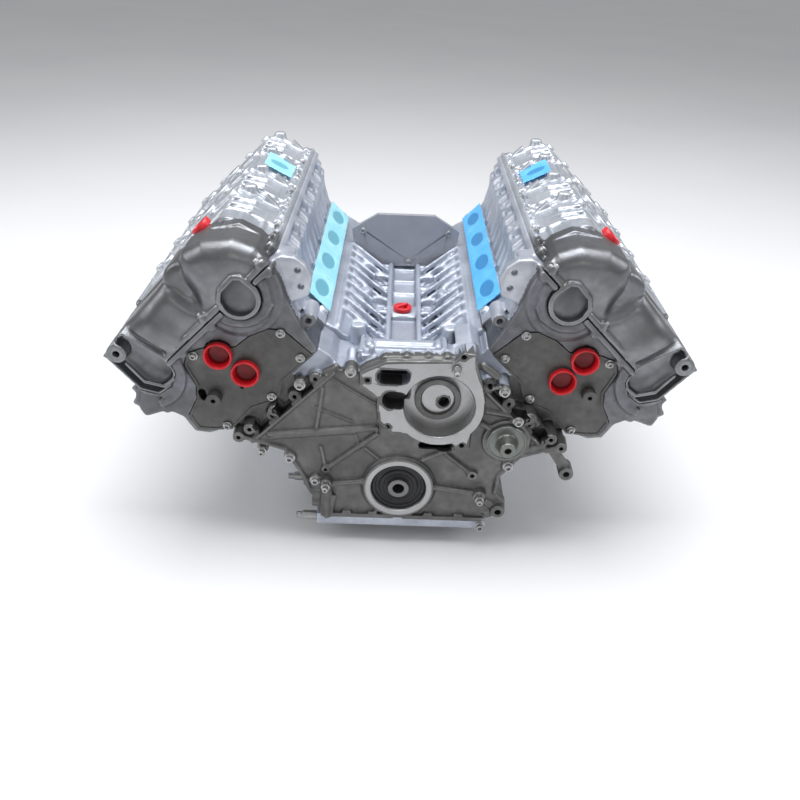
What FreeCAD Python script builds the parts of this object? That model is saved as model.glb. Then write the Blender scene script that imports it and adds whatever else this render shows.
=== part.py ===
import FreeCAD, Part
import os, math

# Complete 90-degree V8 engine (long block), millimetres, +Z up.
# Origin: crankshaft axis at the front face of the crank nose.
# +X to the right seen from the front, +Y towards the flywheel, +Z up.
# Bank frame: u runs up the bank from the crank axis, v runs across it,
# negative v towards the valley. s = +1 right bank, s = -1 left bank.

os.makedirs("parts", exist_ok=True)
Vec = FreeCAD.Vector
R2 = math.sqrt(2.0)

# ---------------------------------------------------------------- driving sizes
BORE = 89.0
STROKE = 88.3
THROW = STROKE / 2.0
ROD = 138.5
COMP_H = 31.5
SPACING = 98.0
STAGGER = 17.7
DECK = 214.2
GASKET = 0.8
HEAD0 = DECK + GASKET            # underside of the heads
RAIL = 334.0                     # head to cover joint
COVER_TOP = 399.0
CYL1_R = 172.4                   # first right cylinder
Y_CASE = 92.0                    # front of the block, rear of the timing case
Y_REAR = 530.0                   # rear face of the block
Y_CRANK_END = 548.0               # flywheel face of the crank
Y_HEAD_REAR = 518.0              # rear of the right head (left is one stagger forward)
PLATE_R = 35.6                   # front face of the right front plate
MAIN_R, MAIN_W = 32.5, 24.0
PIN_R, PIN_W = 27.0, 38.0
MAIN1 = 114.55
PIN1 = 163.55
RUN = 0.05                       # radial running clearance
CAM_V, CAM_U = 43.0, 327.0
CAM_BASE, LIFT, BETA = 17.0, 8.0, math.radians(75)
VALVE_TILT = math.radians(13.7)
SPROCKET_CRANK, SPROCKET_CAM = 18.0, 36.0
BLOCK_BOTTOM = -52.0
RAIL_BOTTOM = -71.0
PAN_BOTTOM = -95.0
SEAL_R = 36.5
PIN_ANGLES = [0.0, 90.0, 270.0, 180.0]   # from +Z towards +X
FIRE_R = [45.0, 675.0, 495.0, 225.0]
FIRE_L = [315.0, 585.0, 405.0, 135.0]
PUMP_X, PUMP_Z, PUMP_R = 48.0, 130.0, 45.0
IDLER_X, IDLER_Z = 138.0, 80.0

OUT = {}

# ---------------------------------------------------------------- helpers
def prism(pts, y0, y1):
    p = [Vec(x, y0, z) for x, z in pts]
    return Part.Face(Part.makePolygon(p + [p[0]])).extrude(Vec(0, y1 - y0, 0))

def prism_z(pts, z0, z1):
    p = [Vec(x, y, z0) for x, y in pts]
    return Part.Face(Part.makePolygon(p + [p[0]])).extrude(Vec(0, 0, z1 - z0))

def prism_x(pts, x0, x1):
    p = [Vec(x0, y, z) for y, z in pts]
    return Part.Face(Part.makePolygon(p + [p[0]])).extrude(Vec(x1 - x0, 0, 0))

def box(x0, x1, y0, y1, z0, z1):
    return Part.makeBox(x1 - x0, y1 - y0, z1 - z0, Vec(x0, y0, z0))

def cyl(p, d, r, h):
    return Part.makeCylinder(r, h, Vec(*p), Vec(*d))

def cyly(x, z, r, y0, y1):
    return Part.makeCylinder(r, y1 - y0, Vec(x, y0, z), Vec(0, 1, 0))

def cone_y(x, z, r0, r1, y0, y1):
    return Part.makeCone(r0, r1, y1 - y0, Vec(x, y0, z), Vec(0, 1, 0))

def ringy(x, z, ro, ri, y0, y1):
    return cyly(x, z, ro, y0, y1).cut(cyly(x, z, ri, y0 - 1, y1 + 1))

def fuse(shapes):
    a = shapes[0]
    if len(shapes) > 1:
        a = a.multiFuse(shapes[1:])
    return a

def cut(a, tools):
    return a.cut(tools) if tools else a

def rib(p, q, t, y0, y1):
    dx, dz = q[0] - p[0], q[1] - p[1]
    n = math.hypot(dx, dz)
    ox, oz = -dz / n * t / 2, dx / n * t / 2
    return prism([(p[0] + ox, p[1] + oz), (q[0] + ox, q[1] + oz),
                  (q[0] - ox, q[1] - oz), (p[0] - ox, p[1] - oz)], y0, y1)

def slot_y(x, z, half, r, y0, y1, ang=0.0):
    ca, sa = math.cos(math.radians(ang)), math.sin(math.radians(ang))
    a = (x - half * ca, z - half * sa)
    b = (x + half * ca, z + half * sa)
    return fuse([rib(a, b, 2 * r, y0, y1), cyly(a[0], a[1], r, y0, y1), cyly(b[0], b[1], r, y0, y1)])

def inset(pts, d):
    n = len(pts)
    area = sum(pts[i][0] * pts[(i + 1) % n][1] - pts[(i + 1) % n][0] * pts[i][1] for i in range(n))
    sgn = 1.0 if area > 0 else -1.0
    out = []
    for i in range(n):
        a, b, c = pts[i - 1], pts[i], pts[(i + 1) % n]
        e1 = (b[0] - a[0], b[1] - a[1]); e2 = (c[0] - b[0], c[1] - b[1])
        l1 = math.hypot(*e1); l2 = math.hypot(*e2)
        n1 = (-e1[1] / l1 * sgn, e1[0] / l1 * sgn); n2 = (-e2[1] / l2 * sgn, e2[0] / l2 * sgn)
        k = 1.0 + n1[0] * n2[0] + n1[1] * n2[1]
        out.append((b[0] + d * (n1[0] + n2[0]) / k, b[1] + d * (n1[1] + n2[1]) / k))
    return out

def hull(pts):
    pts = sorted(set((round(x, 4), round(y, 4)) for x, y in pts))
    def half(seq):
        h = []
        for p in seq:
            while len(h) > 1 and (h[-1][0] - h[-2][0]) * (p[1] - h[-2][1]) - (h[-1][1] - h[-2][1]) * (p[0] - h[-2][0]) <= 1e-9:
                h.pop()
            h.append(p)
        return h
    return half(pts)[:-1] + half(pts[::-1])[:-1]

def circle_pts(x, z, r, n=36, a0=0.0, a1=360.0):
    k = n if abs(a1 - a0 - 360) < 1e-6 else n + 1
    return [(x + r * math.sin(math.radians(a0 + (a1 - a0) * i / n)),
             z + r * math.cos(math.radians(a0 + (a1 - a0) * i / n))) for i in range(k)]

def bank(shape, s):
    t = shape.copy()
    t.rotate(Vec(0, 0, 0), Vec(0, 1, 0), 45.0 * s)
    return t

def bp(s, v, u):
    return (s * (u + v) / R2, (u - v) / R2)

def loc(s, pts):
    return [(s * v, u) for v, u in pts]

def bolt(p, d, head_r=5.2, head_h=5.0, shank_r=3.0, shank=14.0, washer=True):
    """Socket-head bolt; p is the seat, d points out of the seat."""
    D = Vec(*d); D.normalize(); P = Vec(*p)
    b = Part.makeCylinder(head_r, head_h, P + D * 1.2, D)
    if washer:
        b = b.fuse(Part.makeCylinder(head_r + 1.6, 1.2, P, D))
    b = b.fuse(Part.makeCylinder(shank_r, shank, P - D * shank, D))
    return b.cut(Part.makeCylinder(head_r * 0.5, head_h * 0.6, P + D * (1.2 + head_h * 0.5), D))

def bolt_hole(p, d, shank_r=3.0, shank=14.0):
    D = Vec(*d); D.normalize(); P = Vec(*p)
    return Part.makeCylinder(shank_r, shank, P - D * shank, D)

def solids(shape):
    return Part.makeCompound(shape.Solids)

def save(name, shape):
    OUT[name] = shape
    shape.exportStep(os.path.join("parts", name + ".step"))
    print(name, "solids", len(shape.Solids), "valid", shape.isValid(), "vol %.1f cm3" % (shape.Volume / 1000.0), flush=True)

DY = {1: 0.0, -1: -STAGGER}
NAME = {1: "right", -1: "left"}
MAINS = [MAIN1 + SPACING * k for k in range(5)]
PINS = [PIN1 + SPACING * k for k in range(4)]

def cyl_y(s, i):
    return CYL1_R + DY[s] + SPACING * i

def jy(s, k):
    # planes of the cam bearings and head bolts, between the cylinders
    return cyl_y(s, 0) - 49 + 98 * k - (12 if k == 4 else 0)

# ---------------------------------------------------------------- cylinder block
VALLEY = [(-104.0, 198.9), (-88.0, 190.0), (-40.0, 150.0), (40.0, 150.0), (88.0, 190.0), (104.0, 198.9)]
D_OUT = 86.0
def block_outline():
    r = [bp(1, -67.2, DECK), bp(1, D_OUT, DECK)]
    right = [r[1], (206.0, 74.0), (158.0, 55.0), (128.0, 8.0), (124.0, -20.0), (124.0, BLOCK_BOTTOM)]
    left = [(-x, z) for x, z in right][::-1]
    return [bp(-1, -67.2, DECK), (-88.0, 190.0), (-40.0, 150.0), (40.0, 150.0), (88.0, 190.0), r[0]] + right + left

blk = prism(block_outline(), Y_CASE, Y_REAR)
adds = []
# bell-housing flange at the rear and pan rail along both sides
adds.append(prism([(-150, BLOCK_BOTTOM), (150, BLOCK_BOTTOM), (150, 20), (176, 62), (176, 96), (96, 190), (60, 168), (-60, 168), (-96, 190), (-176, 96), (-176, 62), (-150, 20)], Y_REAR - 18, Y_REAR))
adds.append(box(-140, 140, Y_CASE, Y_REAR, BLOCK_BOTTOM, BLOCK_BOTTOM + 12))
# side ribs and engine-mount pads
for sx in (-1, 1):
    for k in range(5):
        y = MAINS[k]
        adds.append(prism([(sx * 120, -45), (sx * 138, -42), (sx * 138, -20), (sx * 150, 40), (sx * 140, 48), (sx * 118, 0)], y - 4, y + 4))
    adds.append(box(min(sx * 110, sx * 146), max(sx * 110, sx * 146), 250, 350, -40, 5))
# valley: two centre rails, diagonal ribs on both slopes, bosses
adds += [box(-25, -19, Y_CASE + 30, 408, 148, 158), box(19, 25, Y_CASE + 30, 408, 148, 158)]
for k in range(9):
    y = 132 + 31 * k
    for sx in (-1, 1):
        p = [(sx * 24, y, 148), (sx * 86, y + 26, 186)]
        q = [(sx * 24, y + 6, 148), (sx * 86, y + 32, 186)]
        pts = [Vec(*p[0]), Vec(*p[1]), Vec(*q[1]), Vec(*q[0])]
        face = Part.Face(Part.makePolygon(pts + [pts[0]]))
        adds.append(face.extrude(Vec(0, 0, 9)))
for sx in (-1, 1):
    for y in (150, 260, 370):
        adds.append(Part.makeCylinder(9, 16, Vec(sx * 60, y, 160), Vec(0, 0, 1)))
adds.append(prism([(-44, 238), (44, 238), (84, 214), (84, 186), (40, 148), (-40, 148), (-84, 186), (-84, 214)], 420, 432))
blk = fuse([blk] + adds)
cuts = []
for s in (1, -1):
    for i in range(4):
        y = cyl_y(s, i)
        cuts.append(bank(cyl((0, y, 62), (0, 0, 1), BORE / 2, DECK + 5 - 62), s))
for k in range(4):
    y0, y1 = MAINS[k] + 11, MAINS[k + 1] - 11
    cuts.append(cyly(0, 0, 87.0, y0, y1))
    cuts.append(box(-86, 86, y0, y1, -60, 0))
cuts.append(cyly(0, 0, 35.0, Y_CASE - 1, Y_REAR + 1))
# wider behind the last main journal, for the seal land
cuts.append(cyly(0, 0, 39.0, MAINS[4] + 11, Y_REAR + 1))
cuts.append(box(-58, 58, Y_CASE - 1, Y_REAR + 1, -60, 0))
blk = cut(blk, cuts)
# water jackets, open at the deck
for s in (1, -1):
    outer = fuse([cyl((0, cyl_y(s, i), 128), (0, 0, 1), 56.0, DECK + 2 - 128) for i in range(4)])
    inner = fuse([cyl((0, cyl_y(s, i), 120), (0, 0, 1), 50.2, DECK + 20 - 120) for i in range(4)])
    j = outer.cut(inner).common(box(-60, 60, cyl_y(s, 0) - 50.0, cyl_y(s, 3) + 50.0, 120, DECK + 4))
    blk = blk.cut(bank(j, s))
more = []
for s in (1, -1):
    for i in range(5):
        y = jy(s, i)
        for v in (-61.0, 66.0):
            more.append(bank(cyl((s * v, y, 150), (0, 0, 1), 5.0, 80), s))
for x in (-120.0, 120.0):
    for z in (-25.0, 85.0):
        more.append(cyly(x, z, 5.5, Y_REAR - 30, Y_REAR + 1))
for k in range(5):
    for x in (-46.0, 46.0):
        more.append(Part.makeCylinder(5.0, 46, Vec(x, MAINS[k], -1), Vec(0, 0, 1)))
for x in (-130.0, 130.0):
    for y in (110, 200, 300, 400, 500):
        more.append(Part.makeCylinder(3.5, 20, Vec(x, y, BLOCK_BOTTOM - 1), Vec(0, 0, 1)))
for x, z in ((-70, 214), (70, 214), (6, 162)):
    more.append(cyly(x, z, 3.0, 412, 430))
for sx in (-1, 1):
    for y in (270.0, 330.0):
        for z in (-29.0, -6.0):
            more.append(cyl((sx * 147, y, z), (-sx, 0, 0), 5.0, 22))
blk = cut(blk, more)
# boss of the valley oil port
boss = box(-22, 22, 207, 243, 144, 158).fuse(Part.makeCylinder(16, 16, Vec(-2, 225, 144), Vec(0, 0, 1))).cut(Part.makeCylinder(11.0, 20, Vec(-2, 225, 142), Vec(0, 0, 1)))
blk = blk.cut(Part.makeCylinder(11.0, 20, Vec(-2, 225, 142), Vec(0, 0, 1))).fuse(boss)
save("cylinder_block", solids(blk))

# lower crankcase: bedplate frame under the block and the timing case
lc = box(-140, 140, Y_CASE, Y_REAR, RAIL_BOTTOM, BLOCK_BOTTOM).fuse(box(-112, 118, 8, Y_CASE, RAIL_BOTTOM, BLOCK_BOTTOM - 2))
for k in range(4):
    lc = lc.cut(box(-86, 86, MAINS[k] + 11, MAINS[k + 1] - 11, RAIL_BOTTOM - 1, BLOCK_BOTTOM + 1))
lc = lc.cut(box(-86, 86, 24, MAINS[0] - 13, RAIL_BOTTOM - 1, BLOCK_BOTTOM + 1))
lc = lc.fuse(cyly(115, -63, 8, 4, 30)).cut(cyly(115, -63, 3.0, 2, 22))
tools = []
for x in (-130.0, 130.0):
    for y in (110, 200, 300, 400, 500):
        tools.append(Part.makeCylinder(3.5, 30, Vec(x, y, RAIL_BOTTOM - 5), Vec(0, 0, 1)))
lc = cut(lc, tools)
save("lower_crankcase", solids(lc))

# shallow oil pan, flat underneath, with its drain plug bore
pan = box(-116, 116, 40, 515, RAIL_BOTTOM - 6, RAIL_BOTTOM)
bowl = prism_x([(46, RAIL_BOTTOM), (56, PAN_BOTTOM), (500, PAN_BOTTOM), (509, RAIL_BOTTOM)], -106, 106)
pan = pan.fuse(bowl)
pan = pan.cut(prism_x([(51, RAIL_BOTTOM + 1), (60, PAN_BOTTOM + 4), (496, PAN_BOTTOM + 4), (504, RAIL_BOTTOM + 1)], -101, 101))
pan = pan.cut(cyly(70, -82.5, 6.0, 30, 70))
save("oil_pan", solids(pan))

# ---------------------------------------------------------------- mains
caps, shells = [], []
for y in MAINS:
    c = box(-57.9, 57.9, y - 11, y + 11, -45, -0.05).cut(cyly(0, 0, 35.0, y - 12, y + 12))
    for x in (-46.0, 46.0):
        c = c.cut(Part.makeCylinder(5.0, 60, Vec(x, y, -50), Vec(0, 0, 1)))
    caps += c.Solids
    r = ringy(0, 0, 35.0, MAIN_R + RUN, y - 11, y + 11)
    shells += r.common(box(-40, 40, y - 12, y + 12, 0, 40)).Solids + r.common(box(-40, 40, y - 12, y + 12, -40, -0.02)).Solids
save("main_bearing_caps", Part.makeCompound(caps))
save("main_bearing_shells", Part.makeCompound(shells))

# ---------------------------------------------------------------- crankshaft
parts = [cyly(0, 0, 14.0, 0, 8), cyly(0, 0, 24.0, 8, 22), cyly(0, 0, 14.5, 22, MAINS[0] - MAIN_W / 2)]
for y in MAINS:
    parts.append(cyly(0, 0, MAIN_R, y - MAIN_W / 2, y + MAIN_W / 2))
for k, y in enumerate(PINS):
    a = PIN_ANGLES[k]
    px, pz = THROW * math.sin(math.radians(a)), THROW * math.cos(math.radians(a))
    parts.append(cyly(px, pz, PIN_R, y - PIN_W / 2, y + PIN_W / 2))
    prof = hull(circle_pts(px, pz, 34.0, 30) + circle_pts(0, 0, 68.0, 24, a + 118, a + 242))
    parts.append(prism(prof, MAINS[k] + MAIN_W / 2, y - PIN_W / 2))
    parts.append(prism(prof, y + PIN_W / 2, MAINS[k + 1] - MAIN_W / 2))
parts.append(cyly(0, 0, 38.0, MAINS[4] + MAIN_W / 2, Y_REAR + 9))
parts.append(cyly(0, 0, 46.0, Y_REAR + 8.5, Y_CRANK_END))
crank = fuse(parts)
tools = [cyly(0, 0, 8.0, -1, 46), cyly(0, 0, 16.0, Y_CRANK_END - 24, Y_CRANK_END + 2)]
for k in range(8):
    a = math.radians(45 * k + 22.5)
    tools.append(cyly(30 * math.cos(a), 30 * math.sin(a), 5.0, Y_CRANK_END - 16, Y_CRANK_END + 2))
PLUGS = []
for k, y in enumerate(PINS):
    a = math.radians(PIN_ANGLES[k])
    cx, cz = THROW / 2 * math.sin(a), THROW / 2 * math.cos(a)
    PLUGS.append((cx, y - PIN_W / 2 - 9, cz))
    tools.append(cyly(cx, cz, 7.0, y - PIN_W / 2 - 14, y - PIN_W / 2 - 4))
crank = cut(crank, tools)
save("crankshaft", solids(crank))
for k, (cx, y, cz) in enumerate(PLUGS):
    save("web_plug_%d" % (k + 1), cyly(cx, cz, 7.0 - RUN, y - 4.7, y + 4.7))

def sprocket(x, z, r, y0, y1, teeth, bore):
    pts = []
    for i in range(teeth):
        for f, rr in ((-0.38, -1.6), (-0.16, 1.2), (0.16, 1.2), (0.38, -1.6)):
            a = 2 * math.pi * (i + f) / teeth
            pts.append((x + (r + rr) * math.sin(a), z + (r + rr) * math.cos(a)))
    return prism(pts, y0, y1).cut(cyly(x, z, bore, y0 - 1, y1 + 1))

YCH = {-1: 46.0, 1: 46.0 + STAGGER}
sp = [sprocket(0, 0, SPROCKET_CRANK, YCH[s], YCH[s] + 8, 18, 14.5) for s in (-1, 1)]
save("crank_sprockets", Part.makeCompound(sp))

# ---------------------------------------------------------------- pistons, rods
def piston_set(s, i, n):
    y = cyl_y(s, i)
    a = PIN_ANGLES[i]
    px, pz = THROW * math.sin(math.radians(a)), THROW * math.cos(math.radians(a))
    # crank pin in the bank's own frame
    c45 = math.cos(math.radians(45 * s)); s45 = math.sin(math.radians(45 * s))
    lx = px * c45 - pz * s45
    lz = px * s45 + pz * c45
    pin_u = lz + math.sqrt(ROD ** 2 - lx ** 2)
    r = BORE / 2 - 0.04
    body = cyl((0, y, pin_u - 20), (0, 0, 1), r, 20 + COMP_H)
    body = body.cut([cyl((0, y, pin_u - 30), (0, 0, 1), 37.0, 30 + 21),
                     box(-60, 60, y - 60, y - 30, pin_u - 30, pin_u + 8),
                     box(-60, 60, y + 30, y + 60, pin_u - 30, pin_u + 8)])
    boss = fuse([cyl((0, y - 31, pin_u), (0, 1, 0), 17.0, 20), cyl((0, y + 11, pin_u), (0, 1, 0), 17.0, 20),
                 box(-15, 15, y - 31, y - 11, pin_u, pin_u + 24), box(-15, 15, y + 11, y + 31, pin_u, pin_u + 24)])
    body = body.fuse(boss.common(cyl((0, y, pin_u - 40), (0, 0, 1), 38.0, 90)))
    body = body.cut([cyl((0, y - 40, pin_u), (0, 1, 0), 11.0, 80)] +
                    [cyl((sv * 17.4, y + sy * 18, pin_u + COMP_H - 1.5), (0, 0, 1), 15.5, 4) for sv in (-1, 1) for sy in (-1, 1)])
    rings = []
    for du, h in ((6.0, 1.2), (11.5, 1.5), (17.0, 2.5)):
        g = cyl((0, y, pin_u + COMP_H - du - h), (0, 0, 1), r + 1, h).cut(cyl((0, y, pin_u), (0, 0, 1), r - 3.0, 60))
        body = body.cut(g)
        ring = cyl((0, y, pin_u + COMP_H - du - h), (0, 0, 1), r + 0.02, h).cut(cyl((0, y, pin_u), (0, 0, 1), r - 3.0, 60))
        rings.append(ring.cut(box(0, 60, y - 0.3, y + 0.3, pin_u, pin_u + 60)))
    P = bank(Part.makeCompound(body.Solids + [q for g in rings for q in g.Solids]), s)
    save("piston_%d" % n, P)
    # rod: built along its own line from the crank pin to the gudgeon pin
    yr = PINS[i] + (-8.85 if s < 0 else 8.85)
    w = 8.7
    L = ROD
    big = cyl((0, yr - w, 0), (0, 1, 0), 34.5, 2 * w)
    lugs = box(-39, 39, yr - w + 1, yr + w - 1, -15, 15)
    small = cyl((0, yr - w + 0.5, L), (0, 1, 0), 16.0, 2 * w - 1)
    shank = prism([(-16, 26), (16, 26), (10, L - 12), (-10, L - 12)], yr - 7.5, yr + 7.5)
    shank = shank.cut([prism([(-9, 38), (9, 38), (5.5, L - 18), (-5.5, L - 18)], yr - 8, yr - 3),
                       prism([(-9, 38), (9, 38), (5.5, L - 18), (-5.5, L - 18)], yr + 3, yr + 8)])
    rod = fuse([big, lugs, small, shank])
    rod = rod.cut([cyl((0, yr - 20, 0), (0, 1, 0), PIN_R + RUN, 40), cyl((0, yr - 20, L), (0, 1, 0), 11.0, 40),
                   cyl((-33.5, yr, -40), (0, 0, 1), 3.2, 56.5), cyl((33.5, yr, -40), (0, 0, 1), 3.2, 56.5),
                   cyl((-33.5, yr, -40), (0, 0, 1), 4.9, 25), cyl((33.5, yr, -40), (0, 0, 1), 4.9, 25)])
    up = rod.common(box(-60, 60, yr - 20, yr + 20, 0, 200))
    lo = rod.common(box(-60, 60, yr - 20, yr + 20, -80, -0.02))
    bolts = []
    for x in (-33.5, 33.5):
        bolts.append(cyl((x, yr, -20), (0, 0, 1), 4.6, 5.0).fuse(cyl((x, yr, -16), (0, 0, 1), 3.2, 32)))
    pin = cyl((0, yr * 0 + y - 29.5, L), (0, 1, 0), 11.0, 59).cut(cyl((0, y - 30, L), (0, 1, 0), 6.5, 60))
    lst = up.Solids + lo.Solids + [b for q in bolts for b in q.Solids] + pin.Solids
    C = Part.makeCompound(lst)
    ang = math.degrees(math.atan2(-lx, pin_u - lz))
    C.rotate(Vec(0, 0, 0), Vec(0, 1, 0), ang)
    C.translate(Vec(lx, 0, lz))
    save("conrod_%d" % n, bank(C, s))

n = 0
for s in (1, -1):
    for i in range(4):
        n += 1
        piston_set(s, i, n)

# ---------------------------------------------------------------- cams and valves
def cam_lift(d):
    d = (d + math.pi) % (2 * math.pi) - math.pi
    return LIFT * math.cos(math.pi * d / (2 * BETA)) ** 2 if abs(d) < BETA else 0.0

def lobe(cx, cz, nose, y0, y1):
    pts = []
    N = 72
    for k in range(N):
        t = 2 * math.pi * k / N
        d = t - nose
        h = CAM_BASE + cam_lift(d)
        e = 1e-4
        dh = (cam_lift(d + e) - cam_lift(d - e)) / (2 * e)
        # direction angle measured from +z towards +x
        nx, nz = math.sin(t), math.cos(t)
        tx, tz = math.cos(t), -math.sin(t)
        pts.append((cx + h * nx + dh * tx, cz + h * nz + dh * tz))
    return prism(hull(pts), y0, y1)

valves, springs, tappets, camcaps = [], [], [], []
VALVE_LIFT = {}
for s in (1, -1):
    y0 = cyl_y(s, 0)
    ys = YCH[s]
    for side, nm in ((-1, "exhaust"), (1, "intake")):
        cx, cz = s * side * CAM_V, CAM_U
        # tappet direction from the cam axis, in the bank's local x', z'
        tx, tz = -s * side * math.sin(VALVE_TILT), -math.cos(VALVE_TILT)
        ta = math.atan2(tx, tz)
        ye = Y_HEAD_REAR + DY[s] - 8
        sh = [cyly(cx, cz, 11.0, ys + 10, ye)]
        for k in range(5):
            yj = jy(s, k)
            sh.append(cyly(cx, cz, 13.0, yj - 9, min(yj + 9, ye)))
        for i in range(4):
            fire = (FIRE_R if s > 0 else FIRE_L)[i]
            centre = fire + (470.0 if side > 0 else 250.0)
            nose = ta - math.radians(0.5 * centre)
            lift = cam_lift(ta - nose)
            for sy in (-1, 1):
                yv = cyl_y(s, i) + sy * 18
                sh.append(lobe(cx, cz, nose, yv - 6, yv + 6))
                top = CAM_BASE + lift + 0.1
                p = (cx + tx * top, yv, cz + tz * top)
                seat = (CAM_U - 223.0) / math.cos(VALVE_TILT)
                # tappet, stem and head along the valve line
                tap = cyl(p, (tx, 0, tz), 14.0, 18.0).cut(cyl((p[0] + tx * 3, yv, p[2] + tz * 3), (tx, 0, tz), 12.0, 16.0))
                tappets.append(bank(tap, s))
                stem0 = top + 3.0
                end = seat + lift
                q = (cx + tx * stem0, yv, cz + tz * stem0)
                st = cyl(q, (tx, 0, tz), 3.0, end - stem0 - 2)
                hd = (cx + tx * (end - 9), yv, cz + tz * (end - 9))
                rv = 15.0 if side > 0 else 13.5
                st = st.fuse(Part.makeCone(3.0, rv, 7.0, Vec(*hd), Vec(tx, 0, tz)))
                hd2 = (cx + tx * (end - 2), yv, cz + tz * (end - 2))
                st = st.fuse(cyl(hd2, (tx, 0, tz), rv, 2.0))
                ret = (cx + tx * (stem0 + 2), yv, cz + tz * (stem0 + 2))
                st = st.fuse(cyl(ret, (tx, 0, tz), 11.5, 3.0))
                valves.append(bank(st, s))
                s0 = stem0 + 5.0
                s1 = 72.0
                sp0 = (cx + tx * s0, yv, cz + tz * s0)
                spg = cyl(sp0, (tx, 0, tz), 10.8, s1 - s0).cut(cyl(sp0, (tx, 0, tz), 8.0, s1 - s0))
                springs.append(bank(spg, s))
        cam = fuse(sh)
        save("camshaft_%s_%s" % (nm, NAME[s]), solids(bank(cam, s)))
        ph = sprocket(cx, cz, SPROCKET_CAM, ys, ys + 8, 36, 6.0)
        ph = ph.fuse(cyly(cx, cz, 27.0, ys - 16, ys)).cut(cyly(cx, cz, 6.0, ys - 18, ys + 10))
        vanes = [slot_y(cx + 17 * math.sin(math.radians(72 * k)), cz + 17 * math.cos(math.radians(72 * k)), 3.0, 2.6, ys - 17, ys - 13, 90 - 72 * k + 90) for k in range(5)]
        ph = ph.cut(vanes)
        ph = ph.fuse(ringy(cx, cz, 11.0, 6.0, ys + 8, ys + 10))
        save("cam_phaser_%s_%s" % (nm, NAME[s]), solids(bank(ph, s)))
        for k in range(5):
            yj = jy(s, k)
            c = box(cx - 24, cx + 24, yj - 7, yj + 7, cz + 0.05, cz + 18).cut([cyly(cx, cz, 13.0 + RUN, yj - 9, yj + 9)])
            c = c.cut([box(cx - 26, cx - 14, yj - 8, yj + 8, cz + 10, cz + 20), box(cx + 14, cx + 26, yj - 8, yj + 8, cz + 10, cz + 20)])
            camcaps.append(bank(c, s))
save("valves", Part.makeCompound([q for v in valves for q in v.Solids]))
save("valve_springs", Part.makeCompound([q for v in springs for q in v.Solids]))
save("tappets", Part.makeCompound([q for v in tappets for q in v.Solids]))
save("cam_bearing_caps", Part.makeCompound([q for v in camcaps for q in v.Solids]))

# chains and guides
chains, guides = [], []
for s in (-1, 1):
    ys = YCH[s]
    cen = [(0, 0, SPROCKET_CRANK), bp(s, -CAM_V, CAM_U) + (SPROCKET_CAM,), bp(s, CAM_V, CAM_U) + (SPROCKET_CAM,)]
    def ring_of(extra):
        pts = []
        for x, z, r in cen:
            pts += circle_pts(x, z, r + extra, 48)
        h = hull(pts)
        # the valley-side run is pressed inwards by its guide
        g = bp(s, -46.0 - extra, 212.0)
        for i in range(len(h)):
            a, b = h[i], h[(i + 1) % len(h)]
            mv = (s * (a[0] + b[0]) / 2 - (a[1] + b[1]) / 2) / R2
            if math.hypot(a[0] - b[0], a[1] - b[1]) > 150 and mv < 0:
                return h[:i + 1] + [g] + h[i + 1:]
        return h
    ch = prism(ring_of(6.2), ys + 0.5, ys + 7.5).cut(prism(ring_of(1.8), ys - 1, ys + 9))
    chains += ch.Solids
    # one fixed guide and one tensioner rail on the inside of each run
    for v0, v1 in ((-21.0, -48.0), (21.0, 58.0)):
        sg = 1 if v0 > 0 else -1
        g = loc(s, [(v0, 70), (v1 * 0.86, 190), (v1 * 0.86 - sg * 9, 190), (v0 - sg * 9, 70)])
        guides.append(bank(prism(g, ys - 3, ys + 11), s))
chains_c = Part.makeCompound(chains)
save("timing_chains", chains_c)

# ---------------------------------------------------------------- heads, covers, plates
ROOT_TOOLS = {}
def cover_front(s):
    return loc(s, [(-103, 334), (-104, 356), (-92, 382), (-62, 405), (-36, 412), (-12, 403), (40, 400), (100, 398), (136, 392), (141, 330), (128, 309), (108, 306), (90, 314), (80, 334)])

def cover_rear(s):
    return loc(s, [(-103, 334), (-101, 384), (-90, 396), (-55, COVER_TOP), (90, COVER_TOP - 1), (102, 388), (106, 334)])

PLATE = [(-54, 214), (-52, 262), (-40, 276), (-16, 285), (8, 287), (24, 296), (40, 314), (60, 322), (74, 314), (80, 300), (86, 284), (100, 272), (128, 262), (135, 240), (122, 226), (103, 210), (60, 213), (36, 203), (20, 203), (2, 213)]
FRONT = [(-63, HEAD0), (-73, 255), (-86, 290), (-97, 310), (-103, RAIL), (80, RAIL), (90, 314), (108, 306), (128, 309), (141, 328), (152, 322), (168, 313), (172, 300), (152, 296), (140, 288), (133, 265), (139, 240), (127, 226), (101, HEAD0)]

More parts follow.
